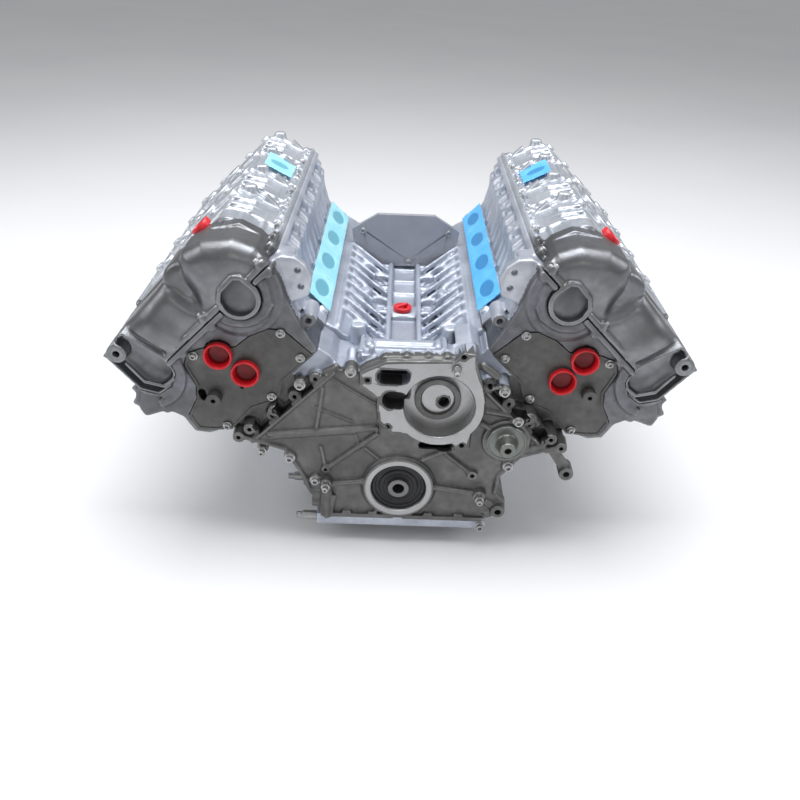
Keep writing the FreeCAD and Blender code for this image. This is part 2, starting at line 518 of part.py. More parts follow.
PORTS = {-1: [(31, 295), (25, 255)], 1: [(30, 295), (34, 256)]}
plate_bolts, cover_bolts, red_plugs, red_caps, tapes = [], [], [], [], []
for s in (1, -1):
    Y0 = PLATE_R + DY[s]
    YB = Y0 + 60.0
    YE = Y_HEAD_REAR + DY[s]
    # ---- head main body
    body = prism(loc(s, [(-71, HEAD0), (-71, 258), (-88, 286), (-103, 302), (-103, RAIL), (106, RAIL), (106, 290), (98, HEAD0)]), YB, YE)
    front = prism(loc(s, FRONT), Y0, YB)
    collar = fuse([cyly(s * -CAM_V, 327, 42.0, Y0 - 6, Y0 + 2), cyly(s * 106, 336, 38.0, Y0 - 6, Y0 + 2)]).common(box(-200, 200, Y0 - 10, Y0 + 10, 262, RAIL))
    collar = collar.cut(prism(cover_front(s), Y0 - 20, Y0 + 20))
    front = fuse([front, collar])
    inner = prism(inset(loc(s, FRONT), 5.0), Y0 + 6, YB - 6)
    topopen = prism(loc(s, [(-92, 320), (-92, RAIL + 2), (74, RAIL + 2), (74, 320)]), Y0 + 6, YB - 6)
    botopen = prism(loc(s, [(-58, HEAD0 - 2), (-58, 240), (70, 240), (70, HEAD0 - 2)]), Y0 + 6, YB - 6)
    front = front.cut([inner, topopen, botopen])
    pl = inset(loc(s, PLATE), 5.0)
    front = front.cut([prism(loc(s, PLATE), Y0 - 1, Y0 + 6), prism(pl, Y0 - 1, Y0 + 12), cyly(s * -CAM_V, CAM_U, 25.0, Y0 - 10, Y0 + 3)])
    front = front.cut([cyly(s * v, u, 19.0, Y0 - 1, Y0 + 20) for v, u in PORTS[s]])
    ears = [prism(loc(s, [(-99, 328), (-112, 324), (-129, 308), (-124, 286), (-106, 272), (-82, 280), (-88, 296)]), Y0 + 8, Y0 + 22),
            cyly(s * -82, 249, 9.0, Y0 + 6, Y0 + 34), prism(loc(s, [(-82, 241), (-68.5, 241), (-71, 258), (-82, 258)]), Y0 + 6, Y0 + 34)]
    room = [cyly(s * sd * CAM_V, CAM_U, 44.0, Y0 + 8, YB - 6) for sd in (-1, 1)]
    front = front.cut(room)
    head = fuse([body, front] + ears)
    tools = []
    cav = prism(loc(s, [(-97, 300), (-97, RAIL + 2), (100, RAIL + 2), (100, 300)]), YB + 8, YE - 6)
    head = head.cut(cav)
    addb = []
    for k in range(5):
        yj = jy(s, k)
        for side in (-1, 1):
            cx = s * side * CAM_V
            addb.append(box(cx - 24, cx + 24, yj - 7, yj + 7, 298, CAM_U))
    for i in range(4):
        y = cyl_y(s, i)
        addb.append(cyl((0, y, 298), (0, 0, 1), 15.0, RAIL - 298))
        # intake runner flange on the outer side
        addb.append(box(min(s * 96, s * 112), max(s * 96, s * 112), y - 38, y + 38, 228, 274))
        # exhaust flange pads on the valley side
        addb.append(box(min(s * -75, s * -68), max(s * -75, s * -68), y - 36, y + 36, 217, 254))
    addb.append(prism(loc(s, [(-115, RAIL - 8), (-115, RAIL), (-102, RAIL), (-102, RAIL - 14)]), Y0 + 24, YE))
    addb.append(prism(loc(s, [(105, RAIL - 14), (105, RAIL), (117, RAIL), (117, RAIL - 8)]), YB + 4, YE))
    head = fuse([head] + addb)
    for i in range(4):
        y = cyl_y(s, i)
        tools.append(cyl((0, y, HEAD0 - 1), (0, 0, 1), 43.0, 9.0))
        tools.append(cyl((0, y, HEAD0), (0, 0, 1), 7.0, 60))
        tools.append(cyl((0, y, 262), (0, 0, 1), 11.0, 120))
        for side in (-1, 1):
            cx = s * side * CAM_V
            tx, tz = -s * side * math.sin(VALVE_TILT), -math.cos(VALVE_TILT)
            for sy in (-1, 1):
                yv = y + sy * 18
                tools.append(cyl((cx, yv, CAM_U), (tx, 0, tz), 3.05, 110))
                tools.append(cyl((cx, yv, CAM_U), (tx, 0, tz), 14.05, 72.0))
                tools.append(cyl((cx + tx * 84, yv, CAM_U + tz * 84), (tx, 0, tz), 11.5, 24))
                rv = 15.0 if side > 0 else 13.5
                seat = (CAM_U - 223.0) / math.cos(VALVE_TILT)
                tools.append(Part.makeCone(3.3, rv + 0.3, 7.0, Vec(cx + tx * (seat - 9), yv, CAM_U + tz * (seat - 9)), Vec(tx, 0, tz)))
                tools.append(cyl((cx + tx * (seat - 2), yv, CAM_U + tz * (seat - 2)), (tx, 0, tz), rv + 0.3, 8.0))
        # oval ports
        for (xa, za, xb, zb) in ((-18, 236, -80, 234), (20, 236, 120, 252)):
            d = Vec(s * (xb - xa), 0, zb - za)
            Lp = d.Length
            a = cyl((s * xa, y - 13, za), (d.x, 0, d.z), 13.0, Lp)
            b = cyl((s * xa, y + 13, za), (d.x, 0, d.z), 13.0, Lp)
            f = Part.Face(Part.makePolygon([Vec(s * xa, y - 13, za) + w for w in (Vec(0, 0, 0), Vec(0, 26, 0))] +
                                           [Vec(s * xa, y + 13, za) + d, Vec(s * xa, y - 13, za) + d, Vec(s * xa, y - 13, za)]))
            nrm = Vec(-d.z, 0, d.x); nrm.normalize()
            slab = f.copy(); slab.translate(nrm * -13.0)
            tools += [a, b, slab.extrude(nrm * 26.0)]
    for k in range(5):
        yj = jy(s, k)
        for side in (-1, 1):
            tools.append(cyly(s * side * CAM_V, CAM_U, 13.0 + RUN, yj - 9, yj + 9 if k < 4 else YE - 7))
    # camshaft passages through the wall behind the chain box
    for side in (-1, 1):
        tools.append(cyly(s * side * CAM_V, CAM_U, 14.5, YB - 8, YB + 10))
        tools.append(box(s * side * CAM_V - 14.5, s * side * CAM_V + 14.5, YB - 8, YB + 10, CAM_U, RAIL + 1))
    for v, u in ((-119, 303), (-107, 287), (-82, 249)):
        tools.append(cyly(s * v, u, 3.2, Y0, Y0 + 40))
    # head bolt holes
    for k in range(5):
        yj = jy(s, k)
        for v in (-61.0, 66.0):
            tools.append(cyl((s * v, yj, HEAD0 - 1), (0, 0, 1), 5.0, 84))
    for v, u in ((103, 216.5), (56, 314), (-49, 262), (28, 207)):
        if u > HEAD0 + 8:
            tools.append(cyly(s * v, u, 3.0, Y0, Y0 + 20))
    for y in (YE - 5,):
        tools.append(cyly(s * -84, 318, 3.5, YE - 20, YE + 1))
        tools.append(cyly(s * 84, 318, 3.5, YE - 20, YE + 1))
    head = cut(head, tools)
    save("cylinder_head_" + NAME[s], solids(bank(head, s)))

    # ---- front plate with two actuator ports and a hub boss
    plate = prism(loc(s, PLATE), Y0, Y0 + 6)
    ports = PORTS[s]
    hub = (81, 258) if s < 0 else (73, 269)
    plate = plate.fuse([cyly(s * hub[0], hub[1], 9.5, Y0 - 14, Y0)] + [ringy(s * v, u, 18.0, 15.0, Y0 - 1.5, Y0) for v, u in ports])
    rim = prism(loc(s, PLATE), Y0 - 1.2, Y0).cut(prism(inset(loc(s, PLATE), 3.0), Y0 - 2, Y0 + 1))
    plate = plate.fuse(rim)
    tl = [cyly(s * v, u, 15.0, Y0 - 4, Y0 + 8) for v, u in ports] + [cyly(s * hub[0], hub[1], 3.0, Y0 - 16, Y0 + 8)]
    if s < 0:
        tl.append(slot_y(s * 91, 270, 4.0, 5.0, Y0 - 4, Y0 + 8, 60))
    for v, u in ((40, 278), (46, 243)):
        tl.append(cyly(s * v, u, 2.4, Y0 - 4, Y0 + 4))
    pb = [(103, 218), (56, 315), (-47, 262), (28, 208), (-40, 222)]
    for v, u in pb:
        tl.append(cyly(s * v, u, 3.0, Y0 - 4, Y0 + 8))
        b = bolt((s * v, Y0 - 1.2, u), (0, -1, 0), 4.6, 4.5, 3.0, 7.2)
        plate_bolts.append(bank(b, s))
    plate = cut(plate, tl)
    save("front_plate_" + NAME[s], solids(bank(plate, s)))
    for v, u in ports:
        c = cyly(s * v, u, 18.0, Y0 - 9.5, Y0 - 1.5).fuse(cyly(s * v, u, 14.9, Y0 - 2, Y0 + 8))
        c = c.cut(cyly(s * v, u, 13.4, Y0 - 10, Y0 + 6))
        red_plugs.append(bank(c, s))

    # ---- cam cover
    YF = Y0 - 8
    of_ = prism(cover_front(s), YF, YB)
    orr = prism(cover_rear(s), YB, YE)
    adds = [of_, orr]
    adds.append(cyly(s * 119, 383, 12.0, YF - 3, YF + 30))
    # outward bump beside the dome and ridges across the roof
    adds.append(box(min(s * -75, s * -20), max(s * -75, s * -20), YB + 10, YB + 34, 395, 405))
    for i in range(4):
        y = cyl_y(s, i)
        adds.append(cyl((0, y, 390), (0, 0, 1), 20.0, 18.0))
        adds.append(cyl((0, y, RAIL), (0, 0, 1), 16.0, 70.0))
        adds.append(box(min(s * -103.8, s * -100), max(s * -103.8, s * -100), y - 3, y + 3, 342, 388))
        adds.append(box(min(s * -95, s * 100), max(s * -95, s * 100), y + 46, y + 50, 396, 402))
    # rail flange
    adds.append(prism(loc(s, [(-115, RAIL), (-115, RAIL + 7), (-101, RAIL + 7), (-101, RAIL)]), Y0 + 24, YE))
    adds.append(prism(loc(s, [(101, RAIL), (101, RAIL + 7), (117, RAIL + 7), (117, RAIL)]), YB + 4, YE))
    cover = fuse(adds)
    cf = inset(cover_front(s), 4.0)
    ci = prism(cf, YF + 5, YB)
    ci2 = prism(loc(s, [(-96, RAIL - 2), (-96, 345), (72, 345), (72, RAIL - 2)]), YF + 5, YB)
    ri = prism(loc(s, [(-98, RAIL - 2), (-97, 382), (-87, 391), (-54, 394), (88, 393), (97, 385), (101, RAIL - 2)]), YB - 1, YE - 5)
    cover = cover.cut([ci, ci2, ri] + room)
    # spark plug wells stay through the roof
    wells = []
    for i in range(4):
        y = cyl_y(s, i)
        wells.append(cyl((0, y, RAIL), (0, 0, 1), 16.0, 70.0))
    cover = fuse([cover] + wells)
    tl = [cyl((0, cyl_y(s, i), RAIL - 5), (0, 0, 1), 12.0, 90.0) for i in range(4)]
    tl += [cyly(s * 119, 383, 4.0, YF - 5, YF + 22), cyly(s * -CAM_V, CAM_U, 25.0, YF - 12, YF + 3)]
    # oil filler / cap openings near the front
    tl.append(cyl((s * -45 if s > 0 else s * -45, YB + 22, 390), (0, 0, 1), 10.0, 20.0))
    bolt_pts = [(-109.4, Y0 + 32 + k * (YE - Y0 - 45) / 6.0) for k in range(7)] + [(111.6, YB + 16 + k * (YE - YB - 30) / 5.0) for k in range(6)]
    for v, y in bolt_pts:
        tl.append(cyl((s * v, y, RAIL - 1), (0, 0, 1), 2.8, 12))
        cover_bolts.append(bank(bolt((s * v, y, RAIL + 7), (0, 0, 1), 3.8, 4.0, 2.8, 7.0), s))
    ring = ringy(s * -CAM_V, CAM_U, 29.0, 25.0, YF - 3, YF + 2).common(box(-200, 200, YF - 5, YF + 5, RAIL, 400))
    cover = cut(fuse([cover, ring]), tl)
    save("cam_cover_" + NAME[s], solids(bank(cover, s)))
    cap = cyl((s * -45, YB + 22, 399), (0, 0, 1), 9.8, 5.0).fuse(cyl((s * -45, YB + 22, 405), (0, 0, 1), 14.0, 9.0))
    cap = cap.fuse(cyl((s * -45, YB + 22, 399), (0, 0, 1), 9.8, 8.0))
    cap = cap.cut(cyl((s * -45, YB + 22, 408), (0, 0, 1), 10.5, 8.0))
    red_caps += bank(cap, s).Solids

    # ---- masking tape over the valley-side ports, and the patch on the cover wall
    t = box(min(s * -75.6, s * -75.1), max(s * -75.6, s * -75.1), cyl_y(s, 0) - 44, cyl_y(s, 3) + 44, 216, 256)
    tapes.append(bank(t, s))
    t2 = box(min(s * -105.2, s * -104.6), max(s * -105.2, s * -104.6), cyl_y(s, 2) - 28, cyl_y(s, 2) + 34, 352, 384)
    tapes.append(bank(t2, s))

save("plate_bolts", Part.makeCompound([q for b in plate_bolts for q in b.Solids]))
save("cover_bolts", Part.makeCompound([q for b in cover_bolts for q in b.Solids]))
save("actuator_port_plugs", Part.makeCompound([q for b in red_plugs for q in b.Solids]))
vp = Part.makeCylinder(10.9, 10, Vec(-2, 225, 150), Vec(0, 0, 1)).fuse(Part.makeCylinder(13.5, 6, Vec(-2, 225, 160), Vec(0, 0, 1)))
vp = vp.cut(Part.makeCylinder(6.0, 8, Vec(-2, 225, 160), Vec(0, 0, 1)))
save("oil_port_caps", Part.makeCompound(red_caps + vp.Solids))
save("masking_tapes", Part.makeCompound([q for b in tapes for q in b.Solids]))

# head gaskets
gl = []
for s in (1, -1):
    y1, y2 = Y_CASE, Y_HEAD_REAR + DY[s]
    g = box(-70 if s > 0 else -86, 86 if s > 0 else 70, y1, y2, DECK, HEAD0)
    t = [cyl((0, cyl_y(s, i), DECK - 1), (0, 0, 1), BORE / 2 + 0.5, 4) for i in range(4)]
    for k in range(5):
        for v in (-61.0, 66.0):
            t.append(cyl((s * v, jy(s, k), DECK - 1), (0, 0, 1), 5.0, 4))
    gl += bank(g.cut(t), s).Solids
save("head_gaskets", Part.makeCompound(gl))

# ---------------------------------------------------------------- timing case
dl = bp(-1, -63, DECK); dr = bp(1, -63, DECK)
el = bp(-1, 99, DECK); er = bp(1, 99, DECK)
CASE = [(-97, -54), (-121, -18), (-126, 6), (-152, 53), (-190, 62), (-212, 68), el, dl, (-92, 186), (-84, 176), (-62, 172), (-46, 184), (-20, 197), (62, 199), (84, 207), (96, 200), (100, 186), dr, er,
        (212, 68), (190, 62), (160, 52), (134, 20), (132, -8), (146, -22), (146, -42), (118, -54)]
case = prism(CASE, 8, Y_CASE)
inner = prism(inset(CASE, 6.0), 14, Y_CASE + 1)
band, keep = [], []
for s in (1, -1):
    Y0 = PLATE_R + DY[s]
    band.append(bank(prism(loc(s, [(-80, 187), (-80, 240), (140, 240), (140, 187)]), 0, Y0 + 6.2), s))
    keep.append(bank(prism(loc(s, [(-80, 181), (-80, 240), (140, 240), (140, 181)]), 0, Y0 + 12), s))
inner = inner.cut(keep)
case = case.cut([inner] + band)
for s in (1, -1):
    ya = PLATE_R + DY[s] + 12
    case = case.cut(bank(prism(loc(s, [(-57, 200), (-57, 225), (72, 225), (72, 200)]), ya, Y_CASE + 1), s))
# pump boss with bore, flange face forward
FL = [(-44, 182), (-20, 194), (30, 196), (62, 196), (74, 209), (90, 207), (92, 190), (100, 165), (105, 140), (100, 112), (90, 92), (90, 66), (72, 66), (66, 80), (36, 82), (12, 90), (-12, 88), (-30, 106), (-32, 140), (-54, 158), (-54, 176)]
feat = [prism(FL, 0, 30)]
feat.append(cyly(0, 0, 46.5, 0, 14))
# stiffening ribs on the front wall
for p, q, t, y in (((-169, 74), (-29, 92), 6, 3), ((-29, 85), (-98, 25), 6, 3), ((-44, 8), (-97, 0), 7, 2), ((44, 2), (109, -6), 7, 2),
                   ((80, 73), (30, 45), 5, 3), ((50, 65), (98, 24), 5, 3), ((-98, 25), (-104, 60), 4, 5), ((-110, 84), (-100, 150), 4, 5),
                   ((100, 108), (118, 96), 6, 3), ((0, -46), (0, -54), 8, 3), ((-97, -50), (118, -50), 5, 4), ((150, 60), (190, 74), 5, 4)):
    feat.append(rib(p, q, t, y, 10))
# bosses: (x, z, radius, front y)
BOSS = [(-112, 8, 8, 3), (-145, 43, 8, 3), (144, 41, 8, 3), (137, -33, 9, -2), (98, 24, 7, 1), (-98, 25, 6, 3), (109, -6, 8, -6), (-97, 7, 7, -6),
        (-196, 84, 8, 4), (-211, 71, 8, 4), (196, 84, 8, 4), (211, 71, 8, 4), (-65, 176, 8, 2), (66, 186, 6, -2), (-129, 153, 8, 6), (129, 153, 8, 6),
        (150, 112, 8, 2), (-163, 112, 8, 6), (163, 112, 8, 6)]
for x, z, r, y in BOSS:
    feat.append(cyly(x, z, r, y, 48 if x > 0 else 30))
feat.append(cyly(-181, 53, 7.5, 8, 30))
feat.append(cyly(IDLER_X, IDLER_Z, 30.0, 4, 16))
case = fuse([case] + feat)
tl = [cyly(0, 0, SEAL_R, -1, 20), cyly(PUMP_X, PUMP_Z, PUMP_R, -1, 12), cyly(PUMP_X, PUMP_Z, PUMP_R - 1.2, 11, 22), cyly(PUMP_X - 2, PUMP_Z + 3, 16, 18, 34),
      slot_y(-11, 171.5, 10.5, 10.5, -1, 34), slot_y(-8, 138, 4, 13, -1, 24), slot_y(46, 66, 17, 5, 6, 34)]
for x, z in ((-44, 166), (74, 203), (80, 73), (-17, 98)):
    tl.append(cyly(x, z, 3.2, -1, 16))
for x, z, r, y in ((137, -33, 4.5, 0), (98, 24, 3, 0), (-98, 25, 2.5, 0), (-196, 84, 3, 0), (-211, 71, 3, 0), (196, 84, 3, 0), (211, 71, 3, 0), (-163, 112, 3, 0), (163, 112, 3, 0)):
    tl.append(cyly(x, z, r, -10, 22))
tl.append(cyly(IDLER_X, IDLER_Z, 5.0, 0, 16))
CB = [(-112, 8, 3), (-145, 43, 3), (144, 41, 3), (-129, 153, 6), (129, 153, 6), (150, 112, 2), (-65, 176, 2)]
ST = [(109, -6, -6), (-97, 7, -6), (66, 186, -2), (-181, 53, 8)]
cb, st = [], []
for x, z, y in CB:
    tl.append(cyly(x, z, 3.0, y - 1, y + 18))
    cb.append(bolt((x, y, z), (0, -1, 0), 5.4, 5.5, 3.0, 16))
for x, z, y in ST:
    tl.append(cyly(x, z, 4.0, y - 1, y + 16))
    st.append(cyly(x, z, 4.0, y - 14, y + 14).fuse(cyly(x, z, 6.2, y - 7, y)))
tl.append(cyly(IDLER_X, IDLER_Z, 26.5, -10, 4))
case = cut(case, tl)
ring2 = ringy(PUMP_X - 2, PUMP_Z + 3, 30, 22, 13, 22)
case = case.fuse([ring2, cyly(PUMP_X - 2, PUMP_Z + 3, 22.5, 18, 22)])
case = case.cut([cyly(PUMP_X + 6, PUMP_Z - 2, 7, 12, 24)])
# pipe bracket arm on the right
arm = fuse([rib((166, 112), (224, 28), 12, 16, 34), cyly(225, 25, 10, 10, 36), cyly(166, 112, 9, 8, 34)]).cut([cyly(225, 25, 4, 0, 40), cyly(163, 112, 3, 0, 22)])
case = fuse([case, arm])
save("timing_case", solids(case))
for x, z in ((115, -63),):
    cb.append(bolt((x, 4, z), (0, -1, 0), 5.2, 5.0, 3.0, 14))
# side studs on the left of the case
for (x, y, z, L) in ((-112, 17, -63, 20), (-140, 104, -61, 14)):
    D = Vec(-1, 0, 0)
    P = Vec(x, y, z)
    st.append(Part.makeCylinder(6.5, L, P, D).fuse(Part.makeCylinder(4.5, 10, P + D * (L - 1), D)))
for x, z in ((-70, 214), (70, 214), (6, 162)):
    cb.append(bolt((x, 412, z), (0, -1, 0), 5.0, 4.0, 3.0, 16))
save("case_bolts_and_studs", Part.makeCompound([q for b in cb + st for q in b.Solids]))

# seal, idler hub, rear carrier, valley plate
seal = cyly(0, 0, SEAL_R, 4, 14).cut(cyly(0, 0, 14.0 + RUN, 0, 15))
seal = seal.cut([cyly(0, 0, 24.0 + RUN, 7.7, 15), ringy(0, 0, 32, 25, 3, 6), ringy(0, 0, 21, 17, 3, 6)])
save("front_crank_seal", solids(seal))
idl = cyly(IDLER_X, IDLER_Z, 26.0, -2, 4).fuse([cone_y(IDLER_X, IDLER_Z, 9.0, 13.0, -20, -2), cyly(IDLER_X, IDLER_Z, 5.0, 4, 14)]).cut(cyly(IDLER_X, IDLER_Z, 4.0, -21, -4))
save("idler_hub", solids(idl))
rc = prism([(-64, -51), (64, -51), (76, 0), (62, 56), (-62, 56), (-76, 0)], Y_REAR, Y_REAR + 8).cut(cyly(0, 0, 38.0 + RUN, Y_REAR - 1, Y_REAR + 9))
save("rear_seal_carrier", solids(rc))
vpl = prism([(-46, 242), (46, 242), (88, 216), (86, 197), (61, 170), (32, 154), (-32, 154), (-61, 170), (-86, 197), (-88, 216)], 412, 420)
vpl = vpl.cut([cyly(-70, 214, 3.0, 400, 430), cyly(70, 214, 3.0, 400, 430), cyly(6, 162, 3.0, 400, 430)])
save("valley_rear_plate", solids(vpl))

# oil pump under the front main bearing
op = ringy(0, 0, 44, 15.5, 76, 90)
op = op.fuse(box(-30, 30, 76, 90, -47, -40)).cut(cyly(0, 0, 15.5, 70, 92))
save("oil_pump", solids(op))
save("chain_guides", Part.makeCompound([q for g in guides for q in g.Solids]))

xs = [s.BoundBox for s in OUT.values()]
print("box", min(b.XMin for b in xs), max(b.XMax for b in xs), min(b.YMin for b in xs), max(b.YMax for b in xs), min(b.ZMin for b in xs), max(b.ZMax for b in xs))
print("nodes", len(OUT))
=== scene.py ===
import bpy, bmesh, math
import numpy as np
from mathutils import Matrix, Vector


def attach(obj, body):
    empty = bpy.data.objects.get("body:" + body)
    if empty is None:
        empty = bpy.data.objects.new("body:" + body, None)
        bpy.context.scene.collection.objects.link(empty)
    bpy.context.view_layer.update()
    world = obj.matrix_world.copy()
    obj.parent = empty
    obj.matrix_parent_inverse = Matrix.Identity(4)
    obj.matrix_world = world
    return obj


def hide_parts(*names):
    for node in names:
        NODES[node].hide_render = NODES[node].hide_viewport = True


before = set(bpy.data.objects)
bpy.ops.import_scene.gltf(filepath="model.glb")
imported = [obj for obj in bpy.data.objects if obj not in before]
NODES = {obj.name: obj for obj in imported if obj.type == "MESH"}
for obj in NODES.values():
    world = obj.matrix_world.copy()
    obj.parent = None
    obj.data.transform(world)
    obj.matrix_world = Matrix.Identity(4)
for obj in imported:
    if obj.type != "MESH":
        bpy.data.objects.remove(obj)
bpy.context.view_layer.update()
R2 = math.sqrt(2.0)
DY = {1: 0.0, -1: -17.7}
SIDE = {1: "right", -1: "left"}
RAIL = 334.0


def cyl_y(s, i):
    return 172.4 + DY[s] + 98.0 * i


# ------------------------------------------------------------------ materials
def nodes_of(name, base, rough, metal):
    m = bpy.data.materials.new(name)
    m.use_nodes = True
    nt = m.node_tree
    b = next(n for n in nt.nodes if n.type == "BSDF_PRINCIPLED")
    b.inputs["Base Color"].default_value = (*base, 1)
    b.inputs["Roughness"].default_value = rough
    b.inputs["Metallic"].default_value = metal
    return m, nt, b


def noise(nt, co, scale, detail=4.0, rough=0.55):
    n = nt.nodes.new("ShaderNodeTexNoise")
    n.inputs["Scale"].default_value = scale
    n.inputs["Detail"].default_value = detail
    n.inputs["Roughness"].default_value = rough
    nt.links.new(co, n.inputs["Vector"])
    return n.outputs["Fac"]


def ramp(nt, fac, stops):
    r = nt.nodes.new("ShaderNodeValToRGB")
    els = r.color_ramp.elements
    while len(els) < len(stops):
        els.new(0.5)
    for e, (p, c) in zip(els, stops):
        e.position = p
        e.color = (*c, 1)
    nt.links.new(fac, r.inputs["Fac"])
    return r.outputs["Color"]


def mixc(nt, fac, a, b, mode="MIX"):
    n = nt.nodes.new("ShaderNodeMix")
    n.data_type = "RGBA"
    n.blend_type = mode
    for sock, val in ((n.inputs[0], fac), (n.inputs[6], a), (n.inputs[7], b)):
        if isinstance(val, (int, float)):
            sock.default_value = val
        elif isinstance(val, tuple):
            sock.default_value = (*val, 1)
        else:
            nt.links.new(val, sock)
    return n.outputs[2]


def maprange(nt, v, a, b, c, d):
    n = nt.nodes.new("ShaderNodeMapRange")
    for i, x in zip((1, 2, 3, 4), (a, b, c, d)):
        n.inputs[i].default_value = x
    nt.links.new(v, n.inputs[0])
    return n.outputs[0]


def bump(nt, b, h, dist, strength=1.0, prev=None):
    n = nt.nodes.new("ShaderNodeBump")
    n.inputs["Distance"].default_value = dist
    n.inputs["Strength"].default_value = strength
    nt.links.new(h, n.inputs["Height"])
    if prev is not None:
        nt.links.new(prev, n.inputs["Normal"])
    nt.links.new(n.outputs["Normal"], b.inputs["Normal"])
    return n.outputs["Normal"]


def coords(nt, scale=(1, 1, 1), rot=(0, 0, 0)):
    t = nt.nodes.new("ShaderNodeTexCoord")
    mp = nt.nodes.new("ShaderNodeMapping")
    mp.inputs["Scale"].default_value = scale
    mp.inputs["Rotation"].default_value = rot
    nt.links.new(t.outputs["Object"], mp.inputs["Vector"])
    return mp.outputs["Vector"]


def cast_metal(name, light, dark, rough=(0.40, 0.58), metal=0.75, grain=0.00022, lumps=0.0005, shade_and_highlight_edges=True, tint=None):
    m, nt, b = nodes_of(name, light, sum(rough) / 2, metal)
    co = coords(nt)
    big = noise(nt, co, 14.0, 3.0)
    mid = noise(nt, co, 90.0, 4.0)
    col = mixc(nt, maprange(nt, big, 0.38, 0.66, 0, 1), dark, light)
    if tint:
        t = noise(nt, coords(nt, (1, 1, 1), (0.4, 0.2, 0.9)), 22.0, 2.0)
        col = mixc(nt, maprange(nt, t, 0.45, 0.75, 0, 0.55), col, tint)
    col = mixc(nt, maprange(nt, mid, 0.35, 0.7, 0.0, 0.35), col, tuple(0.72 * c for c in dark))
    # painted shade in the hollows: low pointiness darkens the colour to 0.30 of the dark tone; convex edges are
    # lightened, partly edge wear and partly painted highlight
    if shade_and_highlight_edges:
        g = nt.nodes.new("ShaderNodeNewGeometry")
        crevice_shade = maprange(nt, g.outputs["Pointiness"], 0.40, 0.49, 1, 0)
        edge_wear_highlight = maprange(nt, g.outputs["Pointiness"], 0.515, 0.60, 0, 0.75)
        col = mixc(nt, crevice_shade, col, tuple(0.30 * c for c in dark))
        col = mixc(nt, edge_wear_highlight, col, tuple(min(0.9, c + 0.22) for c in light))
    nt.links.new(col, b.inputs["Base Color"])
    nt.links.new(maprange(nt, mid, 0.3, 0.7, rough[0], rough[1]), b.inputs["Roughness"])
    p = bump(nt, b, noise(nt, co, 140.0, 3.0), lumps, 0.6)
    bump(nt, b, noise(nt, co, 1300.0, 2.0), grain, 0.8, p)
    return m


def machined(name, base, rough=0.3, metal=0.9, axis=(1, 1, 1), depth=0.00004, spread=0.12):
    m, nt, b = nodes_of(name, base, rough, metal)
    co = coords(nt, axis)
    lines = noise(nt, co, 420.0, 3.0, 0.7)
    soft = noise(nt, coords(nt), 30.0, 3.0)
    col = mixc(nt, maprange(nt, soft, 0.35, 0.7, 0, 1), base, tuple((1 - spread) * c for c in base))
    col = mixc(nt, maprange(nt, lines, 0.4, 0.7, 0, 0.25), col, tuple(0.7 * c for c in base))
    nt.links.new(col, b.inputs["Base Color"])
    nt.links.new(maprange(nt, lines, 0.3, 0.7, max(0.05, rough - 0.07), rough + 0.1), b.inputs["Roughness"])
    bump(nt, b, lines, depth, 0.7)
    return m


def plastic(name, base, dark, rough=0.35, grain=0.00006, coat=0.0):
    m, nt, b = nodes_of(name, base, rough, 0.0)
    co = coords(nt)
    n = noise(nt, co, 60.0, 3.0)
    col = mixc(nt, maprange(nt, n, 0.35, 0.7, 0, 1), base, dark)
    nt.links.new(col, b.inputs["Base Color"])
    nt.links.new(maprange(nt, noise(nt, co, 200.0), 0.3, 0.7, rough - 0.08, rough + 0.1), b.inputs["Roughness"])
    b.inputs["Coat Weight"].default_value = coat
    bump(nt, b, noise(nt, co, 900.0, 2.0), grain, 0.6)
    return m


M = {}
M["block"] = cast_metal("cast_block", (0.58, 0.62, 0.70), (0.45, 0.485, 0.56), (0.42, 0.60), 0.72, 0.0003, 0.0006)
M["case"] = cast_metal("cast_case", (0.185, 0.183, 0.178), (0.125, 0.124, 0.121), (0.38, 0.56), 0.78, 0.00022, 0.0005)
# the head and cover finishes each come as a darker front copy, painted shade on the faces toward the front, and a
# lighter rear copy, painted light on the roof and valley wall
M["head"] = cast_metal("cast_head", (0.21, 0.212, 0.22), (0.145, 0.147, 0.155), (0.38, 0.56), 0.78, 0.00024, 0.0005, True, (0.24, 0.25, 0.30))
M["cover"] = cast_metal("cast_cover", (0.25, 0.256, 0.262), (0.175, 0.18, 0.185), (0.28, 0.42), 0.88, 0.00016, 0.0003, True, (0.30, 0.315, 0.36))
M["coverrear"] = cast_metal("cast_cover_rear_painted_lit", (0.66, 0.69, 0.74), (0.50, 0.53, 0.58), (0.34, 0.50), 0.78, 0.00018, 0.0004)
M["headrear"] = cast_metal("cast_head_rear_painted_lit", (0.66, 0.69, 0.76), (0.48, 0.505, 0.57), (0.40, 0.56), 0.75, 0.00024, 0.0005)
M["plate"] = cast_metal("cast_plate", (0.145, 0.143, 0.139), (0.105, 0.104, 0.101), (0.42, 0.56), 0.75, 0.00018, 0.0002, False)
M["pan"] = cast_metal("cast_pan", (0.50, 0.50, 0.51), (0.40, 0.40, 0.41), (0.42, 0.58), 0.75, 0.00022, 0.0004)
M["face"] = machined("milled_face", (0.43, 0.43, 0.432), 0.36, 0.85, (1, 1, 1), 0.00003)
M["vplate"] = machined("rolled_plate", (0.50, 0.50, 0.53), 0.5, 0.7, (1, 1, 8), 0.00002)
M["steel"] = machined("turned_steel", (0.55, 0.55, 0.56), 0.26, 0.95, (0.3, 6, 0.3))
M["darksteel"] = machined("dark_steel", (0.20, 0.20, 0.205), 0.34, 0.9, (1, 1, 1))
M["bolt"] = machined("zinc_bolt", (0.44, 0.44, 0.44), 0.34, 0.9, (1, 1, 1), 0.00003)
M["iron"] = cast_metal("cast_iron", (0.22, 0.21, 0.21), (0.15, 0.145, 0.145), (0.45, 0.62), 0.7, 0.0003, 0.0005, False)
